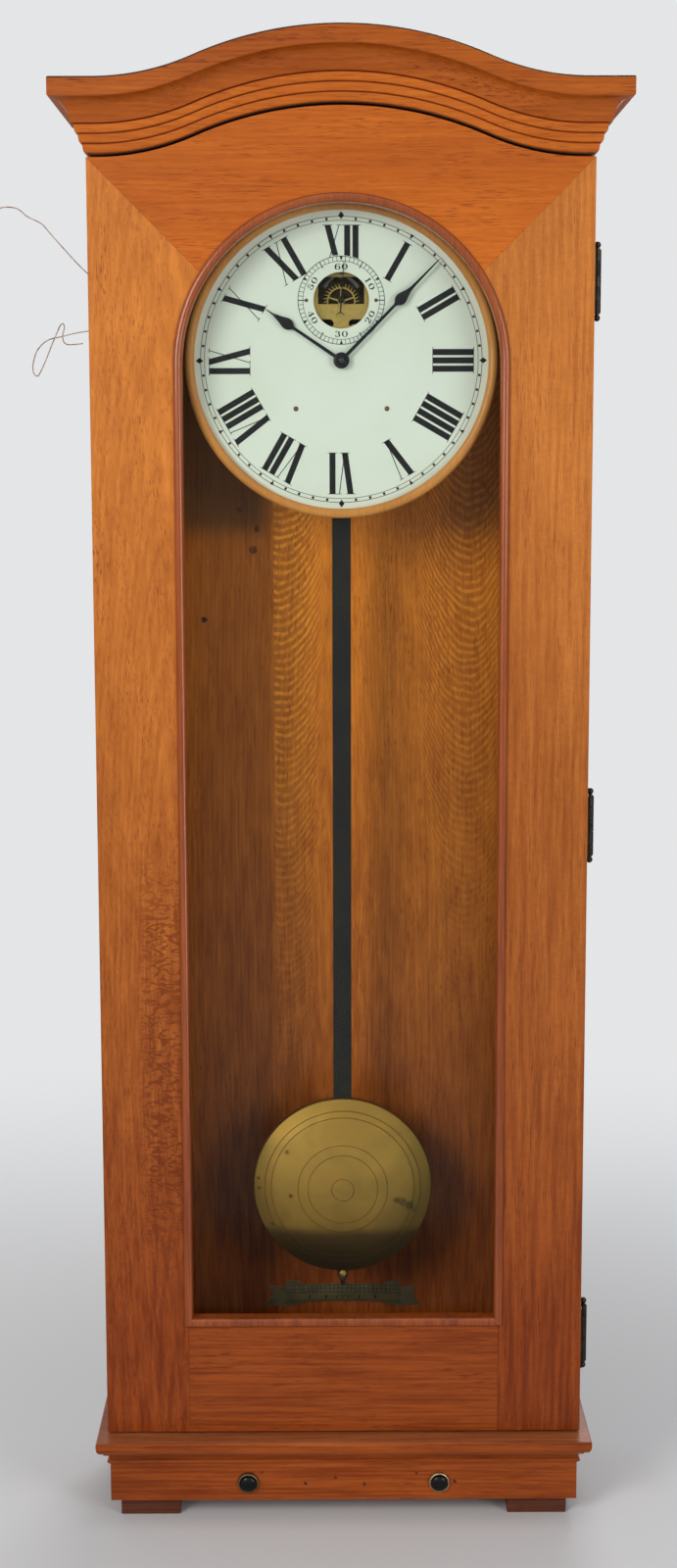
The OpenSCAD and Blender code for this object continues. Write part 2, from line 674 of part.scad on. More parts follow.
module centre_arbor() color("goldenrod") {
    rod_y(arbor_r, minute_hand_y - 2.5, plate_back - 0.5);
    along_y(centre_wheel_y, centre_wheel_y + wheel_t)
        spoked_wheel(centre_teeth, centre_m, third_dir, 3, 6, 5);
    rod_y(5, centre_wheel_y - 2, centre_wheel_y + 3);
}
module spring_barrel() color("goldenrod") along_y(centre_wheel_y + 3, back_inner - 0.5) difference() {
    gear(48, 0.9, 0, 0.4, 0.8, 0.9, 0.2);
    circle(r = arbor_r + 0.02);
}
module cannon_pinion() color("silver") difference() {
    union() {
        rod_y(cannon_r, minute_hand_y, plate_front - 1);
        along_y(plate_front - 3.5, plate_front - 1) gear(cannon_teeth, cannon_m, motion_dir + 180 / cannon_teeth);
    }
    rod_y(arbor_r + 0.02, minute_hand_y - 1, plate_front);
}
module minute_wheel() color("goldenrod") translate([motion_x, 0, motion_z]) difference() {
    union() {
        along_y(plate_front - 3.3, plate_front - 1.5) gear(minute_teeth, cannon_m, motion_dir - 180);
        along_y(plate_front - 7, plate_front - 3.3) gear(cannon_teeth, hour_m, motion_dir - 180);
    }
    rod_y(arbor_r + pivot_fit, plate_front - 8, plate_front);
}
module hour_wheel() color("goldenrod") difference() {
    union() {
        along_y(plate_front - 6.5, plate_front - 4.5) gear(hour_teeth, hour_m, motion_dir + 180 / hour_teeth);
        rod_y(hour_pipe_r, hour_hand_y, plate_front - 4.5);
    }
    rod_y(cannon_r + pivot_fit, hour_hand_y - 1, plate_front);
}
module third_wheel() color("goldenrod") translate([third_x, 0, third_z]) {
    rod_y(arbor_r, plate_front + 0.5, plate_back - 0.5);
    along_y(third_wheel_y, third_wheel_y + wheel_t)
        spoked_wheel(third_teeth, third_m, escape_dir, 2.5, 5, 4);
    along_y(third_wheel_y + wheel_t, centre_wheel_y + wheel_t + 2)
        gear(leaves, centre_m, third_dir + 180 + 180 / leaves, 0.6, 1.2, 0.5, 0.2);
}
module escape_wheel() color("gold") translate([0, 0, seconds_z]) {
    rod_y(arbor_r, seconds_hand_y, plate_back - 0.5);
    along_y(escape_wheel_y, escape_wheel_y + wheel_t) {
        difference() { circle(r = escape_r * 0.76); circle(r = escape_r * 0.68); }
        wheel_spokes(escape_r * 0.7, 3.5, 6, 20);
        for (i = [0 : 29]) rotate(12 * i)
            polygon([[escape_r * 0.74, -1.1], [escape_r, 0.9], [escape_r * 0.985, 1.2], [escape_r * 0.74, 0.6]]);
    }
    along_y(escape_wheel_y + wheel_t, third_wheel_y + wheel_t + 1.5)
        gear(leaves, third_m, escape_dir + 180 + 180 / leaves, 0.6, 1.2, 0.5, 0.2);
}
pallet_arm = escape_r + 2;
fork_drop = 74;
module pallet_anchor() color("silver") translate([0, 0, pallet_z]) {
    rod_y(arbor_r, plate_front + 0.5, plate_back + 2.5);
    rod_y(4.8, escape_wheel_y, escape_wheel_y + wheel_t);
    both_sides() rotate([0, 45, 0]) {
        block(0, pallet_arm, escape_wheel_y, escape_wheel_y + wheel_t, 2, 4.6);
        block(pallet_arm - 4.5, pallet_arm, escape_wheel_y, escape_wheel_y + wheel_t, 1.3, 3);
    }
    rod_y(3.8, plate_back + 1, plate_back + 2.5);
    block(-2, 2, plate_back + 1, plate_back + 2.5, -fork_drop, 0);
    block(-rod_w / 2 - 2.5, rod_w / 2 + 2.5, plate_back + 1, plate_back + 2.5, -fork_drop - 4, -fork_drop);
    both_sides() block(rod_w / 2 + 0.4, rod_w / 2 + 2.5, plate_back + 2, pendulum_y + rod_t / 2,
        -fork_drop - 4, -fork_drop);
}

// Winding magnet
module magnet_core() color("dimgray") {
    both_sides() rod_z(core_r, core_top - coil_l - 6, core_top, coil_x, coil_y);
    block(-coil_x - 6, coil_x + 6, coil_y - 5, coil_y + 5, core_top - coil_l - 10, core_top - coil_l - 6 + hair);
    both_sides() block(coil_x + 2, coil_x + 5, plate_inner, back_inner, core_top - coil_l - 10, core_top - coil_l - 6);
}
module magnet_coils() color("firebrick") both_sides() difference() {
    rod_z(coil_r, core_top - coil_l - 4, core_top - 3, coil_x, coil_y);
    rod_z(core_r + 0.05, core_top - coil_l - 5, core_top, coil_x, coil_y);
}
module armature() color("silver") translate([armature_x, 0, armature_z]) {
    rod_y(arbor_r, plate_front + 0.5, plate_back - 0.5);
    block(-3, coil_x + core_r + 2 - armature_x, coil_y - 4, coil_y + 4, -1.6, 1.6);
    rod_y(3, coil_y - 4, back_inner - 1);
    along_y(back_inner - 3.5, back_inner - 1) {
        polygon([[-2, 0], [2, 0], [9.3, 31], [7, 32.5], [5, 31]]);
    }
}
module terminal_block() color("black") {
    block(-inner_half, -inner_half + 12, -back_t - 40, -back_t, -1010, -920);
    for (z = [-1000, -965, -930]) translate([-inner_half + 12, -back_t - 20, z])
        rotate([0, 90, 0]) cylinder(r = 5, h = 7);
}
beat_half = 89;
beat_tail = 17;
beat_fold = 36;
beat_h = 21;
beat_t = 2;
module beat_plate() color("olive") {
    along_y(-back_t - beat_t, -back_t)
        polygon([[beat_tail - beat_half, 8], [-beat_fold, 11], [beat_fold, 11], [beat_half - beat_tail, 8],
            [beat_half - beat_tail, 8 - beat_h], [beat_fold, 11 - beat_h], [-beat_fold, 11 - beat_h],
            [beat_tail - beat_half, 8 - beat_h]]);
    both_sides() along_y(-back_t - beat_t, -back_t)
        polygon([[beat_half - beat_tail - 6, 3], [beat_half, 1], [beat_half - 6, -8], [beat_half, 3 - beat_h],
            [beat_half - beat_tail - 6, 5 - beat_h]]);
}

// Pendulum
module suspension_spring() color("silver") {
    block(-0.2, 0.2, pendulum_y - 5, pendulum_y + 5, rod_top + 10, pallet_z + 12);
    block(-3, 3, pendulum_y - 5, pendulum_y + 5, rod_top, rod_top + 10 + hair);
}
module pendulum_rod() color("black") {
    block(-rod_w / 2, rod_w / 2, pendulum_y - rod_t / 2, pendulum_y + rod_t / 2, bob_z - bob_r + 19, rod_top);
    rod_z(stud_r, bob_z - bob_r - 18, bob_z - bob_r + 19 + hair, 0, pendulum_y);
}
bob_rim = 3;
bob_sag = bob_t / 2 - bob_rim;
lens_r = (bob_r * bob_r + bob_sag * bob_sag) / (2 * bob_sag);
module bob() color("darkgoldenrod") translate([0, pendulum_y, bob_z]) difference() {
    rotate([90, 0, 0]) rotate_extrude($fn = 96) intersection() {
        translate([0, bob_t / 2 - lens_r]) circle(r = lens_r, $fn = 180);
        translate([0, lens_r - bob_t / 2]) circle(r = lens_r, $fn = 180);
        rect(0, bob_r, -bob_t, bob_t);
    }
    block(-rod_w / 2 - run_gap, rod_w / 2 + run_gap, -rod_t / 2 - run_gap, rod_t / 2 + run_gap,
        -bob_r + 15, bob_r + 1);
    rod_z(stud_r + 0.2, -bob_r - 1, -bob_r + 16);
}
module rating_nut() color("goldenrod") translate([0, pendulum_y, bob_z - bob_r - run_gap]) difference() {
    union() {
        rod_z(6, -8, -1.5);
        rod_z(4.2, -11, 0);
    }
    rod_z(stud_r + pivot_fit, -12, 1);
}

// Setting buttons
rim_r = 11.5;
cap_r = 7.3;
module button_rims() color("olive") both_sides() difference() {
    rod_y(rim_r, apron_front - 4.5, apron_front, button_x, button_z);
    rod_y(cap_r + 0.3, apron_front - 5, apron_front + 1, button_x, button_z);
}
module button() {
    rod_y(cap_r, apron_front - 6, apron_front - button_travel - 0.4, 0, 0);
    translate([0, apron_front - 6, 0]) intersection() {
        translate([0, 9, 0]) sphere(r = sqrt(81 + cap_r * cap_r) + 0.1);
        rod_y(cap_r, -5, hair);
    }
    rod_y(plunger_r, apron_front - button_travel - 1, apron_back + 6);
    rod_y(5, apron_back + 0.3, apron_back + 2.3);
}
module left_button() color("black") translate([-button_x, 0, button_z]) button();
module right_button() color("black") translate([button_x, 0, button_z]) button();
module button_contacts() color("goldenrod") both_sides() {
    block(button_x - 6, button_x + 6, apron_back + 6 + button_travel + run_gap,
        apron_back + 7 + button_travel + run_gap, button_z - 12, under_base - 4);
    block(button_x - 6, button_x + 6, apron_back, apron_back + 7 + button_travel + run_gap,
        under_base - 4 - hair, under_base);
}

// Battery leads: two stiff wires that leave the left side near the wall.
upper_route = [[4, 0, 0], [0, 0, 0], [-5, 0, 0], [-12, 1, 3], [-22, 3, 11], [-32, 5, 21], [-43, 8, 33], [-52, 10, 43],
    [-60, 12, 52], [-68, 14, 61], [-77, 16, 66], [-85, 18, 70], [-92, 19, 76], [-98, 20, 79], [-109, 21, 80],
    [-117, 22, 78], [-126, 22, 74]];
lower_route = [[4, 0, 0], [0, 0, 0], [-5, 0, 0], [-14, 1, 0], [-24, 2, -1], [-36, 4, -3], [-49, 6, -6], [-59, 7, -8],
    [-66, 8, -11], [-72, 9, -16], [-77, 10, -23], [-80, 11, -32], [-81, 11, -38], [-80, 11, -45], [-76, 11, -48],
    [-73, 11, -44], [-69, 11, -36], [-65, 11, -27], [-60, 11, -15], [-56, 11, -6], [-52, 12, 3], [-50, 13, 7],
    [-47, 13, 8], [-46, 13, 4], [-48, 13, -4], [-47, 13, -11], [-43, 13, -14], [-36, 13, -14], [-26, 13, -13]];
function from_exit(route, z) = [for (p = route) [-case_half, lead_y, z] + p];
module upper_lead() color("dimgray") tube(from_exit(upper_route, upper_exit_z), lead_r);
module lower_lead() color("dimgray") tube(from_exit(lower_route, lower_exit_z), lead_r);

place() back_board();
place() left_side();
place() right_side();
place() roof_board();
place() header();
place() crown_front();
place() crown_returns();
place() base_ledge();
place() base_moulding();
place() apron();
place() feet();
place() hanger_plate();
place() case_hinge_leaves();
place() hinge_pins();
place() translate([0, 0, beat_z]) beat_plate();
place() movement_bracket();
place() suspension_cock();
place() front_plate();
place() back_plate();
place() pillars();
place() dial_posts();
place() dial_plate();
place() dial_numerals();
place() dial_screws();
place() bezel();
place() magnet_coils();
place() magnet_core();
place() terminal_block();
place() button_rims();
place() button_contacts();
place() upper_lead();
place() lower_lead();
place() door_left_stile();
place() door_right_stile();
place() door_top_rail();
place() door_bottom_rail();
place() door_glass();
place() glazing_bead();
place() glass_stops();
place() door_hinge_leaves();
place() door_catch();
place() centre_arbor();
place() spring_barrel();
place() cannon_pinion();
place() minute_hand();
place() hand_nut();
place() hour_wheel();
place() hour_hand();
place() minute_wheel();
place() third_wheel();
place() escape_wheel();
place() seconds_hand();
place() pallet_anchor();
place() armature();
place() suspension_spring();
place() pendulum_rod();
place() bob();
place() rating_nut();
place() left_button();
place() right_button();
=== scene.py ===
# Tall wall clock: an oak case with an arched, glazed door, a round dial with a seconds dial,
# an electrically wound movement and a seconds pendulum. Metres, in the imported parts' frame.
import math

import bmesh
import bpy
from mathutils import Matrix, Vector
from mathutils.geometry import interpolate_bezier


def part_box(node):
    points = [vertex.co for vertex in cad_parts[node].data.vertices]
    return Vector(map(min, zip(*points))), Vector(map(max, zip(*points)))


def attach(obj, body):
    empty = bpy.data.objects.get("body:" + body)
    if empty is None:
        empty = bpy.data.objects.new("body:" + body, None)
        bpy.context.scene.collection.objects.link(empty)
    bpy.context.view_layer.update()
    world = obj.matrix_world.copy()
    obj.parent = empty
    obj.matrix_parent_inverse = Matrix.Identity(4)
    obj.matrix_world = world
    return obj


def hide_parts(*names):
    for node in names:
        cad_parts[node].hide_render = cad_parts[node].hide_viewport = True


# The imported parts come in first. The hanger's hole is the origin, the wall is the plane Y = 0,
# the front is -Y, and the dial's centre is 190 mm under the hanger.
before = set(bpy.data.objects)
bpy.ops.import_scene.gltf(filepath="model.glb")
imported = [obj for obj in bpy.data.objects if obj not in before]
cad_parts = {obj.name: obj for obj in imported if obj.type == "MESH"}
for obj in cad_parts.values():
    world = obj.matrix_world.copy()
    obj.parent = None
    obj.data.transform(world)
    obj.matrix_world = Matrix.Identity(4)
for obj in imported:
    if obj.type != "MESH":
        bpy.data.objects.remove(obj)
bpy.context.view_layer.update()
MM = 0.001
DIAL_Z = -0.190

# The camera stands 2.4 m in front of the door, 97 mm under the dial's centre, tilted down by
# 8 degrees, with a lens of about 52 mm on a sensor 36 mm high.
camera_spot = (-0.0155, -2.5532, DIAL_Z - 0.0965)
lens_pixels = 2331.1
picture_high = 1600
tilt_down = 0.1432
turn_right = 0.0048
lean = -0.0022
SENSOR = 36


def linked(name, data):
    """A new object that holds this data, linked to the scene."""
    thing = bpy.data.objects.new(name, data)
    bpy.context.scene.collection.objects.link(thing)
    return thing


camera_data = bpy.data.cameras.new("camera")
camera_data.sensor_width = SENSOR
camera_data.lens = SENSOR * lens_pixels / picture_high
camera = linked("camera", camera_data)
level_right = Vector((math.cos(turn_right), -math.sin(turn_right), 0))
ahead = Vector((math.sin(turn_right) * math.cos(tilt_down), math.cos(turn_right) * math.cos(tilt_down),
                -math.sin(tilt_down)))
level_up = level_right.cross(ahead)
right = level_right * math.cos(lean) + level_up * math.sin(lean)
up = level_up * math.cos(lean) - level_right * math.sin(lean)
facing = Matrix((right, up, -ahead)).transposed().to_4x4()
camera.matrix_world = Matrix.Translation(camera_spot) @ facing
bpy.context.scene.camera = camera
bpy.context.scene.view_settings.view_transform = "Standard"


# Lead wires: two thin, stiff leads that come out of the left side board for a battery. They
# are bare at their far ends, tarnished, and keep the bends that they were left with.
def put(tree, kind, feeds=None, **settings):
    """Adds a node, gives it its settings, and fills its inputs with values or links."""
    node = tree.nodes.new("ShaderNode" + kind)
    for key, value in settings.items():
        setattr(node, key, value)
    for key, value in (feeds or {}).items():
        if isinstance(value, bpy.types.NodeSocket):
            tree.links.new(value, node.inputs[key])
        else:
            node.inputs[key].default_value = value
    return node


def new_finish(name):
    """A new material with its Principled shader and the place on the object."""
    finish = bpy.data.materials.new(name)
    finish.use_nodes = True
    tree = finish.node_tree
    shader = tree.nodes["Principled BSDF"]
    place = put(tree, "TexCoord").outputs["Object"]
    return finish, tree, shader, place


def noise(tree, vector, scale, detail, roughness=0.5, distortion=0.0):
    """Soft noise between 0 and 1."""
    return put(tree, "TexNoise", {"Vector": vector, "Scale": scale, "Detail": detail,
                                  "Roughness": roughness, "Distortion": distortion}).outputs["Fac"]


def mapped(tree, value, low, high, to_low, to_high, smooth=False):
    """A value moved from one range to another, and kept inside it."""
    return put(tree, "MapRange", {"Value": value, "From Min": low, "From Max": high, "To Min": to_low,
                                  "To Max": to_high},
               interpolation_type="SMOOTHSTEP" if smooth else "LINEAR").outputs["Result"]


def surface(tree, shader, colour, roughness=None, height=None, strength=0.0, depth=0.0, **plain):
    """Feeds a shader its colour, roughness and fine relief, and sets its plain values."""
    tree.links.new(colour, shader.inputs["Base Color"])
    if roughness is not None:
        tree.links.new(roughness, shader.inputs["Roughness"])
    if height is not None:
        relief = put(tree, "Bump", {"Height": height, "Strength": strength, "Distance": depth})
        tree.links.new(relief.outputs[0], shader.inputs["Normal"])
    for key, value in plain.items():
        shader.inputs[key.replace("_", " ")].default_value = value


def ramp(tree, factor, *stops):
    """A colour ramp through (position, colour) stops."""
    node = put(tree, "ValToRGB", {"Fac": factor})
    bar = node.color_ramp.elements
    while len(bar) < len(stops):
        bar.new(0.5)
    for mark, (position, colour) in zip(bar, stops):
        mark.position = position
        mark.color = (*colour, 1)
    return node.outputs["Color"]


lead_finish, tree, shader, place = new_finish("tarnished lead wire")
spots = noise(tree, place, 180.0, 3.0)
worn_wire = ramp(tree, spots, (0.35, (0.16, 0.09, 0.05)), (0.6, (0.42, 0.30, 0.22)),
                 (0.8, (0.55, 0.45, 0.36)))
surface(tree, shader, worn_wire, mapped(tree, spots, 0, 1, 0.35, 0.6), Metallic=0.6)
LEAD_WIDE = 1.2
LEAD_EXIT = Vector((-0.255, -0.030, 0))
upper_route = [(4, 0, 0), (0, 0, 0), (-5, 0, 0), (-12, 1, 3), (-22, 3, 11), (-32, 5, 21), (-43, 8, 33),
               (-52, 10, 43), (-60, 12, 52), (-68, 14, 61), (-77, 16, 66), (-85, 18, 70), (-92, 19, 76),
               (-98, 20, 79), (-109, 21, 80), (-117, 22, 78), (-126, 22, 74)]
lower_route = [(4, 0, 0), (0, 0, 0), (-5, 0, 0), (-14, 1, 0), (-24, 2, -1), (-36, 4, -3), (-49, 6, -6),
               (-59, 7, -8), (-66, 8, -11), (-72, 9, -16), (-77, 10, -23), (-80, 11, -32), (-81, 11, -38),
               (-80, 11, -45), (-76, 11, -48), (-73, 11, -44), (-69, 11, -36), (-65, 11, -27),
               (-60, 11, -15), (-56, 11, -6), (-52, 12, 3), (-50, 13, 7), (-47, 13, 8), (-46, 13, 4),
               (-48, 13, -4), (-47, 13, -11), (-43, 13, -14), (-36, 13, -14), (-26, 13, -13)]


def lead_wire(name, node, exit_height, route):
    """One lead as a smooth round curve through its route's points."""
    leaves = LEAD_EXIT + Vector((0, 0, DIAL_Z + exit_height))
    points = [leaves + Vector(step) * MM for step in route[1:]]
    line = bpy.data.curves.new(name, "CURVE")
    line.dimensions = "3D"
    line.bevel_depth = LEAD_WIDE / 2 * MM
    line.bevel_resolution = 3
    line.resolution_u = 6
    line.use_fill_caps = True
    run = line.splines.new("BEZIER")
    run.bezier_points.add(len(points) - 1)
    for i, knot in enumerate(run.bezier_points):
        way = (points[min(i + 1, len(points) - 1)] - points[max(i - 1, 0)]) / 6
        knot.co = points[i]
        knot.handle_left_type = knot.handle_right_type = "FREE"
        knot.handle_left = points[i] - way
        knot.handle_right = points[i] + way
    line.materials.append(lead_finish)
    wire = linked(name, line)
    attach(wire, "case")
    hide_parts(node)
    for a, b in zip(run.bezier_points, run.bezier_points[1:]):
        bend = interpolate_bezier(a.co, a.handle_right, b.handle_left, b.co, 7)


lead_wire("lead_wire_upper", "upper_lead", 0.090, upper_route)
lead_wire("lead_wire_lower", "lower_lead", 0.037, lower_route)

# Studio: a pale floor under the feet that runs out into a pale surround, and soft, wide lamps
# in front, above and behind, at a level where a colour renders about as it is written.
def math_of(tree, operation, *values):
    """A Math node's result."""
    return put(tree, "Math", dict(enumerate(values)), operation=operation).outputs[0]


def vector_of(tree, operation, *values):
    """A Vector Math node's results."""
    return put(tree, "VectorMath", dict(enumerate(values)), operation=operation).outputs


def ray_is(tree, *kinds):
    """1 for a ray of one of these kinds, else 0."""
    rays = put(tree, "LightPath").outputs
    found = rays[kinds[0]]
    for kind in kinds[1:]:
        found = math_of(tree, "MAXIMUM", found, rays[kind])
    return found


BACKDROP = (0.780, 0.785, 0.795, 1)
FLOOR_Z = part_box("feet")[0].z
floor_shape = bmesh.new()
bmesh.ops.create_grid(floor_shape, x_segments=1, y_segments=1, size=30,
                      matrix=Matrix.Translation((0, 0, FLOOR_Z)))
floor_mesh = bpy.data.meshes.new("studio_floor")
floor_shape.to_mesh(floor_mesh)
floor_shape.free()
studio_floor = linked("studio_floor", floor_mesh)
floor_finish, tree, shader, place = new_finish("pale floor")
shader.inputs["Base Color"].default_value = (0.68, 0.68, 0.69, 1)
shader.inputs["Roughness"].default_value = 0.9
shader.inputs["Specular IOR Level"].default_value = 0.0
from_feet = vector_of(tree, "DISTANCE", place, (0, 0, FLOOR_Z))["Value"]
far_off = mapped(tree, from_feet, 0.35, 1.9, 0, 1, True)
share = math_of(tree, "MULTIPLY", far_off, ray_is(tree, "Is Camera Ray", "Is Transmission Ray"))
haze = put(tree, "Emission", {"Color": BACKDROP, "Strength": 1.0}).outputs[0]
run_out = put(tree, "MixShader", {0: share, 1: shader.outputs[0], 2: haze}).outputs[0]
tree.links.new(run_out, tree.nodes["Material Output"].inputs["Surface"])
floor_mesh.materials.append(floor_finish)

surround = bpy.data.worlds.new("pale surround")
bpy.context.scene.world = surround
surround.use_nodes = True
tree = surround.node_tree
tree.nodes.clear()
seen = ray_is(tree, "Is Camera Ray", "Is Transmission Ray", "Is Glossy Ray")
soft_light = put(tree, "Background", {"Color": (0.93, 0.97, 1.0, 1), "Strength": 0.36})
pale_wall = put(tree, "Background", {"Color": BACKDROP, "Strength": 1.0})
both = put(tree, "MixShader", {0: seen, 1: soft_light.outputs[0], 2: pale_wall.outputs[0]})
put(tree, "OutputWorld", {"Surface": both.outputs[0]})


def soft_lamp(name, spot, aim, wide, high, watts, tone):
    """A rectangular lamp at spot that points at aim."""
    lamp_data = bpy.data.lights.new(name, "AREA")
    lamp_data.shape = "RECTANGLE"
    lamp_data.size = wide
    lamp_data.size_y = high
    lamp_data.energy = watts
    lamp_data.color = tone
    lamp = linked(name, lamp_data)
    lamp.visible_camera = False
    lamp.visible_transmission = False
    away = Vector(spot) - Vector(aim)
    lamp.matrix_world = Matrix.Translation(spot) @ away.to_track_quat("Z", "Y").to_matrix().to_4x4()


soft_lamp("lamp_left", (-1.9, -2.9, 0.5), (0, 0, -0.75), 1.2, 1.4, 64, (1, 0.98, 0.95))
soft_lamp("lamp_right", (2.3, -2.9, -0.1), (0, 0, -0.75), 1.2, 1.6, 38, (1, 0.98, 0.96))
soft_lamp("lamp_back", (0.6, 2.6, 0.8), (0, 0, -0.6), 1.4, 1.4, 40, (0.97, 0.99, 1))
soft_lamp("lamp_top", (0.2, -0.9, 2.3), (0, 0, -0.3), 1.6, 1.2, 10, (0.97, 0.99, 1))


# Oak: white oak under an orange varnish that goes redder towards the foot, and darker there,
# partly as painted shade. Growth rings, fibres, open pores, pale figure and dark wild grain are
# one node group for every board.
def group_socket(group, way, kind, *names):
    """Adds sockets of one kind to a node group."""
    for name in names:
        group.interface.new_socket(name, in_out=way, socket_type="NodeSocket" + kind)


def summed(tree, *terms):
    """The sum of several values."""
    total = terms[0]
    for term in terms[1:]:
        total = math_of(tree, "ADD", total, term)
    return total


def product(tree, *factors):
    """The product of several values."""
    total = factors[0]
    for factor in factors[1:]:
        total = math_of(tree, "MULTIPLY", total, factor)
    return total


def swing(tree, value, amount):
    """How far a noise is off its middle, times an amount."""
    return product(tree, math_of(tree, "SUBTRACT", value, 0.5), amount)


def axes_of(tree, place):
    """The X, Y and Z of a place."""
    return put(tree, "SeparateXYZ", {0: place}).outputs


def stretched(tree, vector, draw, scale, detail, roughness=0.5, distortion=0.0):
    """Noise whose features are drawn out along the axes with a small factor."""
    return noise(tree, vector_of(tree, "MULTIPLY", vector, draw)[0], scale, detail, roughness, distortion)


def mixed(tree, factor, first, second, blend="MIX"):
    """A mix of two colours, each a value or a link."""
    node = put(tree, "Mix", {"Factor": factor}, data_type="RGBA", blend_type=blend)
    for socket, value in ((node.inputs[6], first), (node.inputs[7], second)):
        if isinstance(value, bpy.types.NodeSocket):
            tree.links.new(value, socket)
        else:
            socket.default_value = (*value, 1)
    return node.outputs[2]


def tinted(tree, colour, tint):
    """A colour times a tint."""
    return mixed(tree, 1.0, colour, tint, "MULTIPLY")


# The oak is darkest and reddest at the first height and palest at the second; the darkening is partly
# painted shade.
REDDEST_AND_SHADED_AT, PALEST_AND_BEST_LIT_AT = -1.22, -0.28
RING_RATE, RING_WAVER = 1350.0, 46.0
oak_grain = bpy.data.node_groups.new("oak grain", "ShaderNodeTree")
group_socket(oak_grain, "INPUT", "Vector", "Grain", "Place")
group_socket(oak_grain, "INPUT", "Color", "High", "Low")
group_socket(oak_grain, "INPUT", "Float", "Figure", "Flame", "Pores", "Streaks", "Rings")
group_socket(oak_grain, "OUTPUT", "Color", "Color")
group_socket(oak_grain, "OUTPUT", "Float", "Roughness", "Height")
tree = oak_grain
inlet = tree.nodes.new("NodeGroupInput").outputs
outlet = tree.nodes.new("NodeGroupOutput").inputs
grain = inlet["Grain"]
height_here = axes_of(tree, inlet["Place"])["Z"]
# Painted shade: this height ramp from Low to High is partly the oak's redder foot and partly painted shade
# towards the bottom.
tone = mixed(tree, mapped(tree, height_here, REDDEST_AND_SHADED_AT, PALEST_AND_BEST_LIT_AT, 0, 1), inlet["Low"], inlet["High"])
mottle = stretched(tree, grain, (1, 1, 0.25), 10, 4, 0.55, 0.7)
streak = stretched(tree, grain, (1, 1, 0.05), 170, 4, 0.62, 0.3)
fibre = stretched(tree, grain, (1, 1, 0.06), 760, 2, 0.7)
waver = stretched(tree, grain, (1, 1, 0.16), 8, 3, 0.5)
from_pith = vector_of(tree, "LENGTH", vector_of(tree, "MULTIPLY", grain, (1, 1, 0))[0])["Value"]
ring = math_of(tree, "SINE", summed(tree, product(tree, from_pith, RING_RATE),
                                    product(tree, waver, RING_WAVER)))
bolder_low = product(tree, inlet["Streaks"], mapped(tree, height_here, -1.2, -0.4, 2.5, 1.0))
lightness = summed(tree, 0.5, swing(tree, mottle, 1.1), swing(tree, streak, bolder_low),
                   swing(tree, fibre, 0.6), product(tree, ring, inlet["Rings"]))
wood = mixed(tree, lightness, tinted(tree, tone, (0.66, 0.56, 0.50)),
             tinted(tree, tone, (1.22, 1.32, 1.45)))
wood = mixed(tree, inlet["Figure"], wood, tinted(tree, tone, (1.6, 2.1, 2.0)))
flame = stretched(tree, grain, (0.38, 0.38, 0.8), 190, 3, 0.5, 2.0)
flame_here = product(tree, mapped(tree, flame, 0.49, 0.56, 0, 1, True), inlet["Flame"])
wood = mixed(tree, flame_here, wood, tinted(tree, tone, (0.50, 0.36, 0.32)))
pore = stretched(tree, grain, (1, 1, 0.055), 980, 1.5, 0.5)
clump = stretched(tree, grain, (1, 1, 0.2), 60, 2, 0.5)
pore_here = product(tree, mapped(tree, pore, 0.58, 0.66, 0, 1), mapped(tree, clump, 0.38, 0.62, 0.15, 1),
                    inlet["Pores"])
wood = mixed(tree, pore_here, wood, tinted(tree, tone, (0.42, 0.28, 0.26)))
tree.links.new(wood, outlet["Color"])
tree.links.new(mapped(tree, summed(tree, streak, pore_here), 0.3, 1.3, 0.34, 0.60), outlet["Roughness"])
tree.links.new(math_of(tree, "SUBTRACT", fibre, pore_here), outlet["Height"])

UPRIGHT = (0, 0, 0)
ACROSS = (0, math.pi / 2, 0)
INWARD = (math.pi / 2, 0, 0)


def over_dial(x, y, z):
    """A point in metres from millimetres, with z counted from the dial's centre."""
    return Vector((x * MM, y * MM, z * MM + DIAL_Z))


def marked(tree, place, colour, stain, marks, strength=1.0):
    """The colour with a stain at each mark of (x, y, z over the dial, radius) millimetres."""
    ragged = noise(tree, place, 160.0, 3.0).node.outputs["Color"]
    bend = Vector((6, 6, 6)) * MM
    bent = vector_of(tree, "MULTIPLY_ADD", ragged, bend, place)[0]
    most = 0.0
    for x, y, z, radius in marks:
        middle = over_dial(x, y, z) + bend / 2
        off = vector_of(tree, "DISTANCE", bent, middle)["Value"]
        most = math_of(tree, "MAXIMUM", most, mapped(tree, off, radius * 0.55 * MM, radius * MM, 1, 0, True))
    patchy = mapped(tree, axes_of(tree, ragged)["X"], 0.38, 0.62, strength, 0.5 * strength)
    return mixed(tree, product(tree, most, patchy), colour, stain)


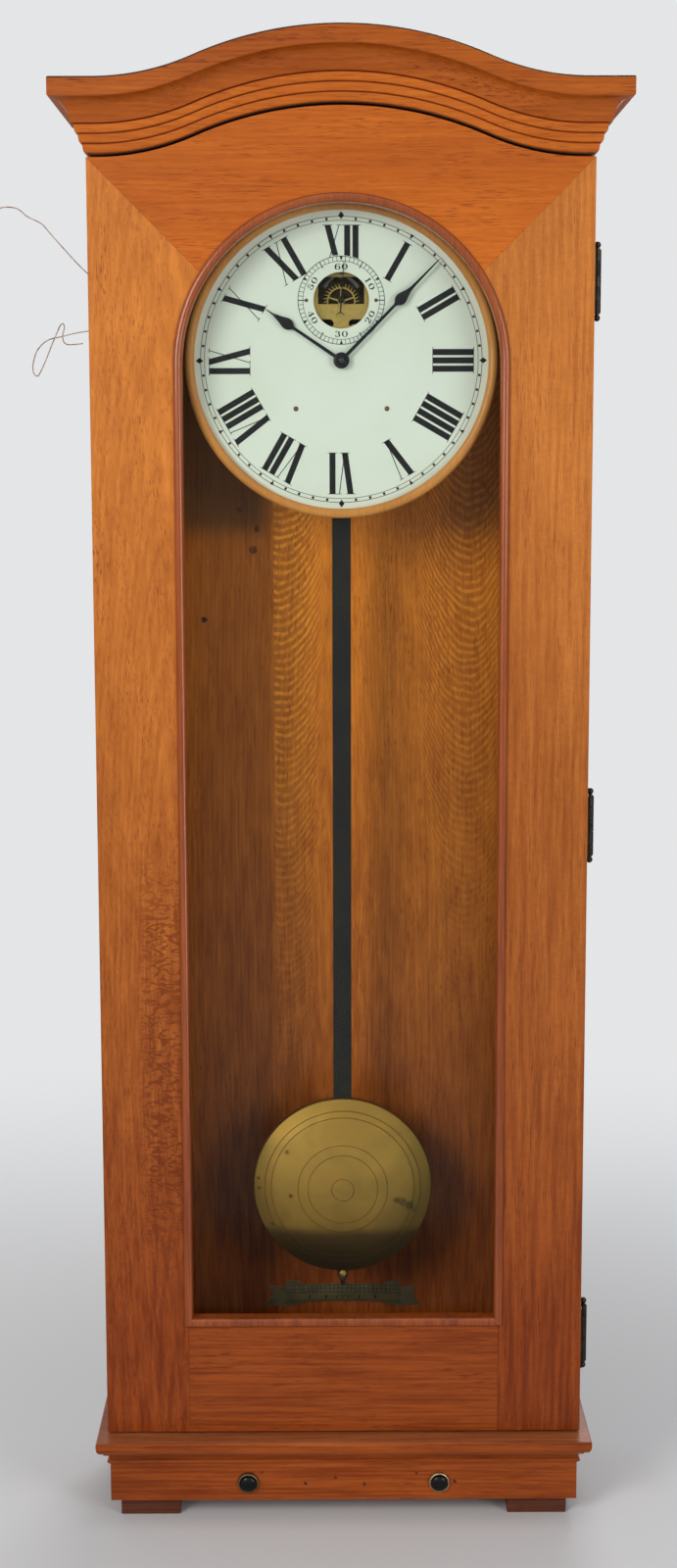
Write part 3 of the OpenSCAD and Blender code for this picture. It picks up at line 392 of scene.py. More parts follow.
def oak_finish(name, turn, high, low, figure=0.0, flame=0.0, pores=0.6, streaks=1.1, rings=0.08,
               pith=(0.4, 0.3, 0.2), coat=0.08, marks=(), tilt=0.0, boards=(), shade=None):
    """Varnished oak whose grain runs upright or across, with its pith at an offset."""
    finish, tree, shader, place = new_finish(name)
    grain = put(tree, "Mapping", {"Vector": place, "Location": pith,
                                  "Rotation": (turn[0] + tilt, turn[1], turn[2])}).outputs[0]
    oak = put(tree, "Group", {"Grain": grain, "Place": place, "High": (*high, 1), "Low": (*low, 1),
                              "Pores": pores, "Streaks": streaks, "Rings": rings}, node_tree=oak_grain)
    for socket, amount in (("Figure", figure), ("Flame", flame)):
        if callable(amount):
            tree.links.new(amount(tree, place), oak.inputs[socket])
        else:
            oak.inputs[socket].default_value = amount
    colour = oak.outputs["Color"]
    if boards:
        across = mapped(tree, axes_of(tree, place)["X"], -0.25, 0.25, 0, 1)
        shades = ramp(tree, across, *[((x + 0.25) / 0.5, (tone, tone, tone)) for x, tone in boards])
        colour = tinted(tree, colour, shades)
    # Painted shade: where the shade mask is 1, the colour is darkened and cooled.
    if shade:
        colour = mixed(tree, shade(tree, place), colour, tinted(tree, colour, (0.42, 0.50, 0.66)))
    if marks:
        colour = marked(tree, place, colour, (0.045, 0.018, 0.008), marks)
    surface(tree, shader, colour, oak.outputs["Roughness"], oak.outputs["Height"], 0.2, 0.4 * MM,
            Specular_IOR_Level=0.16, Coat_Weight=coat, Coat_Roughness=0.14)
    return finish


GOLD = (0.52, 0.158, 0.022)
RUSSET = (0.240, 0.044, 0.0050)


# Case: back board, two side boards, the bent roof board and the header behind the crown, of
# solid oak about 18 to 22 mm thick, glued and screwed. The edges are lightly rounded.
def set_piece(shape, name, body, finish, stands_for=(), sharp=32, weigh=False):
    """Makes the finished object from a bmesh with its finish, and has it ride and stand in."""
    bmesh.ops.remove_doubles(shape, verts=shape.verts, dist=1e-6)
    mesh = bpy.data.meshes.new(name)
    shape.to_mesh(mesh)
    shape.free()
    mesh.shade_smooth()
    mesh.set_sharp_from_angle(angle=math.radians(sharp))
    mesh.materials.append(finish)
    piece = linked(name, mesh)
    if weigh:
        steady = piece.modifiers.new("even shading", "WEIGHTED_NORMAL")
        steady.keep_sharp = True
    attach(piece, body)
    if stands_for:
        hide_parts(*stands_for)
    return piece


def rounded(shape, edge, sharp=25, segments=2):
    """Bevels every edge of a bmesh that turns by more than the sharp angle."""
    corners = [e for e in shape.edges if len(e.link_faces) == 2 and
               e.calc_face_angle(0) > math.radians(sharp)]
    bmesh.ops.bevel(shape, geom=corners, offset=edge, offset_type="OFFSET", affect="EDGES",
                    segments=segments, profile=0.5, material=-1, clamp_overlap=True)


def worked_copy(node):
    """A CAD node's mesh with its loose triangles joined and its flat faces whole."""
    shape = bmesh.new()
    shape.from_mesh(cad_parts[node].data)
    bmesh.ops.remove_doubles(shape, verts=shape.verts, dist=2e-6)
    bmesh.ops.dissolve_limit(shape, angle_limit=math.radians(0.4), verts=shape.verts, edges=shape.edges)
    return shape


def board(node, name, body, finish, edge=0.9):
    """A wooden board from its CAD node, with edges rounded by the given millimetres."""
    shape = worked_copy(node)
    rounded(shape, edge * MM)
    return set_piece(shape, name, body, finish, [node], weigh=True)


side_oak = oak_finish("oak, side boards", UPRIGHT, GOLD, RUSSET, pith=(0.33, 0.24, 0), rings=0.10)
roof_oak = oak_finish("oak, roof", ACROSS, GOLD, RUSSET, pith=(0.2, 0.3, 0))
# Painted shade: a near-black oak for the header seen through the gap under the crown, and for the glass
# stops.
shade_oak = oak_finish("oak, in the shade", ACROSS, (0.045, 0.016, 0.006), (0.045, 0.014, 0.006))
BACK_FACE = -22
LEFT_CREST, RIGHT_CREST, CREST_BEND, WAVE_RATE, WAVE_WAVER = -0.066, 0.141, 28.0, 660.0, 14.0


def back_figure(tree, place):
    """Nested waves of pale grain, in a strip left of the rod and in the wide board right of it."""
    spot = axes_of(tree, place)
    on_left = math_of(tree, "LESS_THAN", spot["X"], 0.0)
    off = math_of(tree, "SUBTRACT", spot["X"], mapped(tree, on_left, 0, 1, RIGHT_CREST, LEFT_CREST))
    rise = product(tree, off, off, CREST_BEND)
    waver = stretched(tree, place, (1, 1, 0.5), 30, 3, 0.5)
    turns = summed(tree, product(tree, math_of(tree, "SUBTRACT", spot["Z"], rise), WAVE_RATE),
                   product(tree, waver, WAVE_WAVER))
    wave = mapped(tree, math_of(tree, "SINE", turns), -0.3, 0.8, 0, 1, True)
    broken = mapped(tree, stretched(tree, place, (1, 1, 0.6), 150, 2), 0.36, 0.60, 0.2, 1)
    strip = product(tree, mapped(tree, spot["X"], -0.0755, -0.0735, 0, 1),
                    mapped(tree, spot["X"], -0.045, -0.015, 1, 0.2, True))
    wide = product(tree, mapped(tree, spot["X"], 0, 0.01, 0, 1),
                   mapped(tree, spot["X"], 0.02, 0.13, 0.3, 0.62, True))
    upward = mapped(tree, spot["Z"], -1.05, -0.32, 0.12, 1, True)
    return product(tree, wave, broken, math_of(tree, "MAXIMUM", strip, wide), upward)


def unfaded(tree, place):
    """Painted shadow of the dial: the back board is darker in its upper corners, on its front face only."""
    spot = axes_of(tree, place)
    high = mapped(tree, spot["Z"], -0.385, -0.355, 0, 1, True)
    outer = math_of(tree, "MAXIMUM", mapped(tree, spot["X"], -0.10, -0.06, 1, 0, True),
                    mapped(tree, spot["X"], 0.10, 0.15, 0, 0.6, True))
    inside = mapped(tree, spot["Y"], (BACK_FACE + 0.5) * MM, (BACK_FACE + 1.5) * MM, 1, 0)
    return product(tree, high, outer, inside)


# The back board carries a painted shadow of the dial in its upper corners.
back_oak = oak_finish("figured oak, back board", UPRIGHT, (0.84, 0.250, 0.021), (0.285, 0.060, 0.006),
                      figure=back_figure, pores=0.7, streaks=1.3, rings=0.10, pith=(0.02, -0.045, 0),
                      tilt=0.09, shade=unfaded,
                      boards=((-0.080, 0.66), (-0.074, 0.90), (0.0, 0.90), (0.004, 1.04), (0.046, 1.04),
                              (0.048, 0.98), (0.10, 0.92), (0.18, 0.74)),
                      marks=[(x, BACK_FACE, z, radius) for x, z, radius in (
                          (-152.2, -276.8, 4.2), (-92.9, -177.6, 4.6), (-97.5, -200.5, 5.6),
                          (-111, -156.1, 4.4))])
board("back_board", "case_back", "case", back_oak)
board("left_side", "case_side_left", "case", side_oak)
board("right_side", "case_side_right", "case", side_oak)
board("roof_board", "case_roof", "case", roof_oak)
# The header is near-black as painted shade for the gap under the crown; only its top takes the roof oak.
header = board("header", "case_header", "case", shade_oak, 0.5)
header.data.materials.append(roof_oak)
for face in header.data.polygons:
    face.material_index = 1 if face.normal.z > 0.5 else 0


# Crown: an oak moulding that follows the curved top and returns along both sides, worked with
# three reeds, a cove and a flat top band, and mitred at the two front corners.
def only(geometry, kind):
    """The parts of one kind in an operator's result."""
    return [part for part in geometry if isinstance(part, kind)]


def faced(shape):
    """The bmesh with all its faces turned outwards."""
    bmesh.ops.recalc_face_normals(shape, faces=shape.faces)
    return shape


def station(x, y, z, way):
    """A moulding's station: its point, in millimetres over the dial, and its way out."""
    return over_dial(x, y, z), Vector(way)


def run_moulding(name, stations, lift, profile, body, finish, stands_for, closed=False, sharp=32):
    """Draws a profile of (out, lift) millimetres along stations of (point, way out)."""
    shape = bmesh.new()
    rings = [[point + out * (q[0] * MM) + lift * (q[1] * MM) for q in profile] for point, out in stations]
    ring = [shape.verts.new(spot) for spot in rings[0]]
    rim = [shape.edges.new(pair) for pair in zip(ring, ring[1:] + ring[:1])]
    first_rim = rim
    for spots in rings[1:]:
        order = {tuple(v.co): i for i, v in enumerate(ring)}
        made = bmesh.ops.extrude_edge_only(shape, edges=rim)["geom"]
        ring = sorted(only(made, bmesh.types.BMVert), key=lambda v: order[tuple(v.co)])
        fresh = set(ring)
        rim = [e for e in only(made, bmesh.types.BMEdge) if fresh.issuperset(e.verts)]
        for vert, spot in zip(ring, spots):
            vert.co = spot
    if closed:
        bmesh.ops.bridge_loops(shape, edges=first_rim + rim)
    else:
        bmesh.ops.holes_fill(shape, edges=first_rim + rim, sides=0)
    return set_piece(faced(shape), name, body, finish, stands_for, sharp)


CASE_HALF = 255
SHOULDER = 200
DOOR_FRONT = -190
ARCH_HALF, ARCH_RISE, ARCH_R, ARCH_STEPS = 247, 50.5, 375, 48
low_r = (ARCH_HALF ** 2 + ARCH_RISE ** 2) / (2 * ARCH_RISE) - ARCH_R
arch_joint = ARCH_HALF * ARCH_R / (ARCH_R + low_r)


def top_height(x):
    """Height of the curved top over the dial's centre, in millimetres."""
    x = abs(x)
    if x < arch_joint:
        return SHOULDER + ARCH_RISE - ARCH_R + math.sqrt(ARCH_R ** 2 - x ** 2)
    if x < ARCH_HALF:
        return SHOULDER + low_r - math.sqrt(low_r ** 2 - (x - ARCH_HALF) ** 2)
    return SHOULDER


GAP, REED, CROWN_HIGH, CROWN_OUT = 3.4, 9.3, 73.5, 36
crown_profile = [(0, GAP)]
for reed in range(3):
    foot = GAP + reed * REED
    crown_profile += [(3.9 * reed + out, foot + lift) for out, lift in (
        (0.6, 0.1), (2.2, 0.3), (3.2, 0.8), (3.9, 2.0), (4.4, 4.6), (4.8, REED - 1.6), (4.7, REED - 0.9),
        (4.2, REED - 0.5))]
cove_low, cove_high = GAP + 3 * REED, CROWN_HIGH - 19
crown_profile += [(CROWN_OUT - 2 - 18 * math.cos(math.radians(a)),
                   cove_low + 0.4 + (cove_high - cove_low - 0.8) * math.sin(math.radians(a)))
                  for a in range(0, 91, 9)]
crown_profile += [(CROWN_OUT - 0.8, cove_high), (CROWN_OUT, cove_high + 1.0), (CROWN_OUT, CROWN_HIGH - 1.7),
                  (CROWN_OUT - 0.5, CROWN_HIGH - 0.5), (CROWN_OUT - 1.7, CROWN_HIGH), (0, CROWN_HIGH)]
crown_line = [station(-CASE_HALF, 0, SHOULDER, (-1, 0, 0)),
              station(-CASE_HALF, DOOR_FRONT, SHOULDER, (-1, -1, 0))]
crown_line += [station(x, DOOR_FRONT, top_height(x), (0, -1, 0))
               for x in [ARCH_HALF * (i / ARCH_STEPS - 1) for i in range(2 * ARCH_STEPS + 1)]]
crown_line += [station(CASE_HALF, DOOR_FRONT, SHOULDER, (1, -1, 0)),
               station(CASE_HALF, 0, SHOULDER, (1, 0, 0))]
reed_oak = oak_finish("oak, crown reeds", ACROSS, (0.52, 0.126, 0.012), RUSSET, pith=(0.3, 0.35, 0))
cove_oak = oak_finish("oak, crown cove", ACROSS, (0.385, 0.088, 0.008), RUSSET, pores=0.9, streaks=1.1,
                      pith=(0.3, 0.35, 0.1))
# A near-black band along the crown's top arris.
dark_arris = oak_finish("near-black top arris", ACROSS, (0.035, 0.014, 0.008), (0.035, 0.014, 0.008))
crown = run_moulding("crown", crown_line, Vector((0, 0, 1)), crown_profile, "case", reed_oak,
                     ["crown_front", "crown_returns"], sharp=28)
return_oak = oak_finish("oak, crown returns", INWARD, (0.46, 0.108, 0.010), RUSSET, pores=0.7,
                        pith=(0.3, 0.35, 0.1))
# Painted shade: a dark oak for the quirks between the reeds, where the grooves fall in shade.
quirk_shade_oak = oak_finish("oak, quirks between the reeds", ACROSS, (0.23, 0.036, 0.002), (0.18, 0.03, 0.002))
for finish in (cove_oak, dark_arris, return_oak, quirk_shade_oak):
    crown.data.materials.append(finish)
for face in crown.data.polygons:
    lift = (face.center.z - DIAL_Z) / MM - top_height(face.center.x / MM)
    if lift > cove_low:
        face.material_index = 1
    if face.center.y > DOOR_FRONT * MM / 2 - CROWN_OUT * MM:
        face.material_index = 3
    # Faces at the crown's top arris take the near-black band.
    if CROWN_HIGH - 1.9 < lift < CROWN_HIGH - 0.1:
        face.material_index = 2
    # The quirks between the reeds and under the cove take the painted shade.
    if any(-0.8 < lift - GAP - reed * REED < 0.3 for reed in (1, 2, 3)):
        face.material_index = 4

# Base: a ledge under the door with a quarter-round edge, a coved and beaded moulding below it,
# an apron board and two square feet, all of the same oak but darker, partly as painted shade.
# The feet are darkest, as painted shade under the base.
APRON_FRONT = -186
nail_marks = [(x, APRON_FRONT, z, radius) for x, z, radius in (
    (-89, -1198.4, 2.6), (-42.4, -1211.4, 2.4), (-9.5, -1205.2, 2.4), (22.3, -1212.1, 2.6),
    (79.6, -1200, 2.2), (121, -1210.5, 2.4))]
dents = [(-126, -196, -1182.2, 3.4), (-121, -197, -1182.4, 4.2), (-115, -196, -1181.8, 3.0)]
base_oak = oak_finish("oak, base", ACROSS, GOLD, (0.315, 0.062, 0.0066), pores=0.5, rings=0.14,
                      boards=((-0.24, 0.86), (-0.08, 1.0), (0.08, 1.0), (0.24, 0.86)),
                      pith=(0.05, 0.1, 0.3), marks=nail_marks + dents)
# Painted shade: the feet's near-black low colour stands for the shadow under the base.
foot_oak_painted_shade = oak_finish("oak, feet", ACROSS, GOLD, (0.105, 0.030, 0.014), pith=(0.1, 0.12, 0))
dusty_oak = oak_finish("oak, dusty top of the ledge", ACROSS, GOLD, (0.31, 0.092, 0.028), pores=0.6,
                       pith=(0.05, 0.1, 0.3))
ledge = board("base_ledge", "base_ledge_board", "case", base_oak, 0.3)
ledge.data.materials.append(dusty_oak)
for face in ledge.data.polygons:
    face.material_index = 1 if face.normal.z > 0.8 else 0
board("base_moulding", "base_cove", "case", base_oak, 0.3)
board("apron", "base_apron", "case", base_oak, 0.9)
board("feet", "base_feet", "case", foot_oak_painted_shade, 1.2)

# Door: two stiles, a curved top rail mitred to them and a bottom rail between them, of solid
# oak, rebated behind for the glass. The joints show as hairlines.
def stile_flame(tree, place):
    """Dark wild grain near the left stile's inner edge, in its lower half."""
    spot = axes_of(tree, place)
    return product(tree, mapped(tree, spot["X"], -0.226, -0.200, 0, 1, True),
                   mapped(tree, spot["Z"], -0.80, -0.66, 0.85, 0, True),
                   mapped(tree, spot["Z"], -1.20, -1.04, 0, 1, True))


stile_left_oak = oak_finish("oak, left stile", UPRIGHT, (0.57, 0.178, 0.026), RUSSET, flame=stile_flame,
                            pores=0.7, rings=0.08, pith=(0.178, 0.095, 0), tilt=0.1)
stile_right_oak = oak_finish("oak, right stile", UPRIGHT, (0.55, 0.178, 0.030), RUSSET,
                             flame=0.12, pores=0.6, rings=0.09, pith=(-0.1, 0.36, 0))
top_rail_oak = oak_finish("oak, top rail", ACROSS, (0.515, 0.122, 0.010), RUSSET, pores=0.8, streaks=0.9,
                          rings=0.05, pith=(0.3, 0.35, 0.1))
bottom_rail_oak = oak_finish("oak, bottom rail", ACROSS, GOLD, (0.255, 0.049, 0.0055), pores=0.7, rings=0.12,
                             pith=(0.2, 0.25, 0.4))
board("door_left_stile", "door_stile_left", "door", stile_left_oak, 0.35)
board("door_right_stile", "door_stile_right", "door", stile_right_oak, 0.35)
board("door_top_rail", "door_rail_top", "door", top_rail_oak, 0.35)
board("door_bottom_rail", "door_rail_bottom", "door", bottom_rail_oak, 0.35)

# Glazing bead: a half-round moulding 9.5 mm wide, bent round the arch and mitred at the foot,
# red-brown under a full gloss varnish. It hides the joint between the door and the glass.
SIGHT_HALF, SIGHT_ARCH, SIGHT_FOOT = 162.6, -6.75, -1020.75
BEAD_HALF, BEAD_BACK, BEND_STEPS = 4.75, -176, 64
bead_profile = [(0, BEAD_BACK), (0, DOOR_FRONT)]
bead_profile += [(BEAD_HALF - BEAD_HALF * math.cos(math.radians(a)),
                  DOOR_FRONT - 4.4 * math.sin(math.radians(a))) for a in range(12, 181, 12)]
bead_profile += [(BEAD_HALF, DOOR_FRONT + 0.1), (BEAD_HALF, BEAD_BACK)]
bead_line = [station(-SIGHT_HALF, 0, SIGHT_FOOT, (-1, 0, -1)),
             station(-SIGHT_HALF, 0, SIGHT_ARCH, (-1, 0, 0))]
bead_line += [station(-SIGHT_HALF * math.cos(a), 0, SIGHT_ARCH + SIGHT_HALF * math.sin(a),
                      (-math.cos(a), 0, math.sin(a)))
              for a in [math.pi * i / BEND_STEPS for i in range(1, BEND_STEPS)]]
bead_line += [station(SIGHT_HALF, 0, SIGHT_ARCH, (1, 0, 0)),
              station(SIGHT_HALF, 0, SIGHT_FOOT, (1, 0, -1))]
bead_oak = oak_finish("oak, glazing bead", UPRIGHT, (0.31, 0.066, 0.010), (0.26, 0.052, 0.007), pores=0.3,
                      coat=0.6)
run_moulding("glass_bead", bead_line, Vector((0, 1, 0)), bead_profile, "door", bead_oak,
             ["glazing_bead"], closed=True)
# The glass stops take the near-black oak as painted shade.
board("glass_stops", "glass_stop_strips", "door", shade_oak, 0.4)

# Glass: one clear pane, 3 mm thick, cut to the arch. Lamps shine through it, and it mirrors a
# little of what stands round it.
glass, tree, shader, place = new_finish("clear pane")
for key, value in (("Base Color", (0.96, 0.99, 0.97, 1)), ("Roughness", 0.02), ("IOR", 1.12),
                   ("Transmission Weight", 1.0)):
    shader.inputs[key].default_value = value
clear = put(tree, "BsdfTransparent", {"Color": (0.93, 0.95, 0.94, 1)})
soft_rays = ray_is(tree, "Is Shadow Ray", "Is Diffuse Ray")
pane = put(tree, "MixShader", {0: soft_rays, 1: shader.outputs[0], 2: clear.outputs[0]})
tree.links.new(pane.outputs[0], tree.nodes["Material Output"].inputs["Surface"])


def dress(node, finish):
    """Gives a CAD node that is shown as it is its finish."""
    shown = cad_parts[node].data.materials
    shown.clear()
    shown.append(finish)


dress("door_glass", glass)


# Metals: brass, dark bronze, steel and black iron. One node group gives them their patchy
# tarnish, with a fine grit and a rougher shine where they are dull.
tarnish = bpy.data.node_groups.new("tarnish", "ShaderNodeTree")
group_socket(tarnish, "INPUT", "Vector", "Place")
group_socket(tarnish, "INPUT", "Color", "Clean", "Dull")
group_socket(tarnish, "INPUT", "Float", "Patch Scale", "Amount", "Shine", "Dullness")
group_socket(tarnish, "OUTPUT", "Color", "Color")
group_socket(tarnish, "OUTPUT", "Float", "Roughness", "Height")
tree = tarnish
inlet = tree.nodes.new("NodeGroupInput").outputs
outlet = tree.nodes.new("NodeGroupOutput").inputs
patch = noise(tree, inlet["Place"], inlet["Patch Scale"], 5.0, 0.62, 0.4)
worn = product(tree, mapped(tree, patch, 0.40, 0.66, 0, 1, True), inlet["Amount"])
grit = noise(tree, inlet["Place"], product(tree, inlet["Patch Scale"], 14.0), 2.0)
tree.links.new(mixed(tree, worn, inlet["Clean"], inlet["Dull"]), outlet["Color"])
shine = put(tree, "Mix", {"Factor": worn, "A": inlet["Shine"], "B": inlet["Dullness"]}).outputs["Result"]
tree.links.new(summed(tree, shine, mapped(tree, grit, 0.3, 0.7, -0.05, 0.05)), outlet["Roughness"])
tree.links.new(grit, outlet["Height"])


def metal_finish(name, clean, dull, patch_scale, amount, shine, dullness, metallic=1.0, bump=0.05):
    """A metal or a painted or moulded surface with tarnish or dirt on it."""
    finish, tree, shader, place = new_finish(name)
    layer = put(tree, "Group", {"Place": place, "Clean": (*clean, 1), "Dull": (*dull, 1),
                                "Patch Scale": patch_scale, "Amount": amount, "Shine": shine,
                                "Dullness": dullness}, node_tree=tarnish)
    surface(tree, shader, layer.outputs["Color"], layer.outputs["Roughness"], layer.outputs["Height"], bump,
            0.3 * MM, Metallic=metallic, Specular_IOR_Level=0.5 if metallic else 0.2)
    return finish


brass = metal_finish("brass", (0.40, 0.285, 0.085), (0.27, 0.195, 0.060), 34, 0.7, 0.30, 0.45, bump=0.02)
# Painted shade: a near-black brass for the back plate and the parts inside the movement, which stand unlit
# there.
brass_in_painted_shade = metal_finish("browned brass", (0.050, 0.038, 0.020), (0.022, 0.018, 0.013), 60, 0.8, 0.4, 0.6)
bronze = metal_finish("dark bronze", (0.045, 0.036, 0.028), (0.020, 0.017, 0.015), 70, 0.8, 0.36, 0.55)
steel = metal_finish("steel", (0.12, 0.12, 0.125), (0.06, 0.055, 0.05), 90, 0.6, 0.35, 0.55)
iron = metal_finish("black iron", (0.035, 0.033, 0.032), (0.07, 0.045, 0.03), 50, 0.5, 0.45, 0.7)

# Movement: two brass plates on four pillars, screwed to an iron bracket on the back board,
# with brass wheels, steel pinions and pallets, and a winding magnet of two wrapped coils.
coil_cover = metal_finish("waxed red coil wrap", (0.30, 0.06, 0.04), (0.16, 0.04, 0.03), 120, 0.8, 0.5,
                          0.7, 0)
bakelite = metal_finish("black moulded", (0.004, 0.004, 0.005), (0.010, 0.009, 0.008), 80, 0.5, 0.20,
                        0.35, 0)
for node, body, slot, finish, edge in (
        ("front_plate", "case", "brass", brass, 0.25), ("back_plate", "case", "brass", brass_in_painted_shade, 0.25),
        ("movement_bracket", "case", "iron", iron, 0.8), ("suspension_cock", "case", "iron", iron, 0.6),
        ("magnet_core", "case", "iron", iron, 0.4), ("armature", "winding_armature", "steel", steel, 0.2),
        ("pallet_anchor", "pallets", "steel", steel, 0.15), ("dial_posts", "case", "brass", brass, 0.3),
        ("hanger_plate", "case", "steel", steel, 0.4), ("door_catch", "door", "brass", brass, 0.4),
        ("button_contacts", "case", "brass", brass, 0.15),
        ("terminal_block", "case", "bakelite", bakelite, 1.0)):
    shape = worked_copy(node)
    rounded(shape, edge * MM)
    set_piece(shape, node + "_made", body, finish, [node], weigh=True)
# The pillars, arbor, barrel and third wheel inside the movement take the brass darkened as painted shade.
for node, finish in (("pillars", brass_in_painted_shade), ("centre_arbor", brass_in_painted_shade), ("spring_barrel", brass_in_painted_shade),
                     ("cannon_pinion", steel), ("hour_wheel", brass), ("minute_wheel", brass),
                     ("third_wheel", brass_in_painted_shade), ("magnet_coils", coil_cover),
                     ("suspension_spring", steel)):
    dress(node, finish)


# Seconds dial's opening: an escape wheel of thin pointed teeth turns behind it, in front of the
# brass plate.
def turned(profile, x, z, steps=96):
    """Spins a profile of (radius, y) millimetres round a fore-and-aft axis into a closed form."""
    shape = bmesh.new()
    spots = [shape.verts.new(over_dial(x + r, y, z)) for r, y in profile]
    from_axis = profile[0][0] == 0
    pairs = zip(spots, spots[1:] if from_axis else spots[1:] + spots[:1])
    line = [shape.edges.new(pair) for pair in pairs]
    bmesh.ops.spin(shape, geom=spots + line, cent=over_dial(x, 0, z), axis=(0, 1, 0), angle=2 * math.pi,
                   steps=steps, use_merge=True, use_normal_flip=False, use_duplicate=False)
    bmesh.ops.remove_doubles(shape, verts=shape.verts, dist=2e-6)
    return faced(shape)


def arc(cx, cy, rx, ry, start, stop, count):
    """Points on an ellipse's arc, in degrees."""
    return [(cx + rx * math.cos(math.radians(start + (stop - start) * i / count)),
             cy + ry * math.sin(math.radians(start + (stop - start) * i / count))) for i in range(count + 1)]


def oblong(left, right, low, high):
    """A rectangle's outline."""
    return [(left, low), (right, low), (right, high), (left, high)]


def cut_plate(shape, outlines, y_front, y_back, x=0.0, z=0.0, turn=0.0):
    """Adds flat plates with these (right, up) millimetre outlines, turned and set at x, z."""
    cos, sin = math.cos(turn), math.sin(turn)
    for outline in outlines:
        corners = [shape.verts.new(over_dial(x + u * cos - v * sin, y_front, z + u * sin + v * cos))
                   for u, v in outline]
        face = shape.faces.new(corners)
        grown = bmesh.ops.extrude_face_region(shape, geom=[face])["geom"]
        bmesh.ops.translate(shape, vec=(0, (y_back - y_front) * MM, 0),
                            verts=only(grown, bmesh.types.BMVert))
    return shape


SECONDS_Z = 61.3
ESCAPE_R = 20
wheel_y = -127.5
shape = turned(oblong(13.4, 14.7, wheel_y, wheel_y + 2), 0, SECONDS_Z)
for tooth in range(30):
    a = math.radians(12 * tooth)
    cut_plate(shape, [[(14.4, -0.8), (16.4, -0.1), (ESCAPE_R - 1, 0.95), (ESCAPE_R - 1.2, 1.15), (16.2, 0.6),
                       (14.4, 0.5)]], wheel_y, wheel_y + 2, 0, SECONDS_Z, a)
for spoke in range(5):
    cut_plate(shape, [[(2.6, -0.9), (13.8, -0.6), (13.8, 0.6), (2.6, 0.9)]], wheel_y + 0.1, wheel_y + 1.9,
              0, SECONDS_Z, math.radians(18 + 72 * spoke))
set_piece(faced(shape), "escape_wheel_cut", "escape", brass, ["escape_wheel"])
hub = turned([(0, -147.2), (1.5, -147.2), (1.5, wheel_y - 1.5), (3.5, wheel_y - 1.2), (3.5, wheel_y + 3),
              (2.4, wheel_y + 3.2), (2.4, wheel_y + 10), (1.5, wheel_y + 10.2), (1.5, -101.5), (0, -101.5)],
             0, SECONDS_Z, 32)
set_piece(hub, "escape_arbor", "escape", steel)

# Dial: a white-painted metal plate that has yellowed a little, with printed black numerals,
# a minute track, and a seconds dial printed under the twelve.
dial_finish, tree, shader, place = new_finish("aged white dial paint")
patches = noise(tree, place, 9.0, 5.0, 0.6)
specks = noise(tree, place, 240.0, 3.0)
aged = mixed(tree, mapped(tree, patches, 0.35, 0.7, 0, 1, True), (0.720, 0.775, 0.680),
             (0.675, 0.735, 0.620))
aged = mixed(tree, mapped(tree, specks, 0.72, 0.80, 0, 0.5, True), aged, (0.42, 0.42, 0.30))
surface(tree, shader, aged, None, patches, 0.08, 2 * MM, Roughness=0.38)
dress("dial_plate", dial_finish)

black_print = metal_finish("black print", (0.005, 0.005, 0.006), (0.010, 0.010, 0.010), 90, 0.5, 0.4,
                           0.55, 0)
DIAL_Y = -145.0
PRINT_Y = DIAL_Y - 0.12
OUTER, INNER, BAR, HAIR, SERIF = 137.5, 94.5, 6.3, 0.9, 0.6
SUB_CUT, TRACK_R = 45.6, 44.6


def numeral_strokes(letters):
    """The strokes of a roman numeral as (inner x, outer x, width), centred on 0."""
    wide = {"I": 8.5, "V": 19.0, "X": 21.0}
    total = sum(wide[c] for c in letters)
    at = -total / 2
    strokes = []
    for c in letters:
        middle = at + wide[c] / 2
        if c == "I":
            strokes.append((middle, middle, BAR))
        elif c == "V":
            strokes.append((middle + 0.8, middle - 5.2, BAR))
            strokes.append((middle + 1.0, middle + 6.6, HAIR))
        else:
            strokes.append((middle + 5.6, middle - 5.6, BAR))
            strokes.append((middle - 6.4, middle + 6.4, HAIR))
        at += wide[c]
    return strokes


def stroke_outlines(strokes, twelve):
    """Bars with hairline serifs; under the twelve they stop at the seconds dial."""
    outlines = []
    for x_in, x_out, width in strokes:
        ends = []
        for side in (-1, 1):
            inner, reach = x_in + side * width / 2, INNER
            if twelve:
                reach = SECONDS_Z + math.sqrt(SUB_CUT ** 2 - min(abs(inner), 40) ** 2)
            share = (reach - INNER) / (OUTER - INNER)
            ends.append((inner + (x_out - x_in) * share, reach))
        outlines.append([ends[0], ends[1], (x_out + width / 2, OUTER), (x_out - width / 2, OUTER)])
        flare = width / 2 + 2.0
        outlines.append(oblong(x_out - flare, x_out + flare, OUTER - SERIF, OUTER))
        if not twelve:
            outlines.append(oblong(x_in - flare, x_in + flare, INNER, INNER + SERIF))
    return outlines


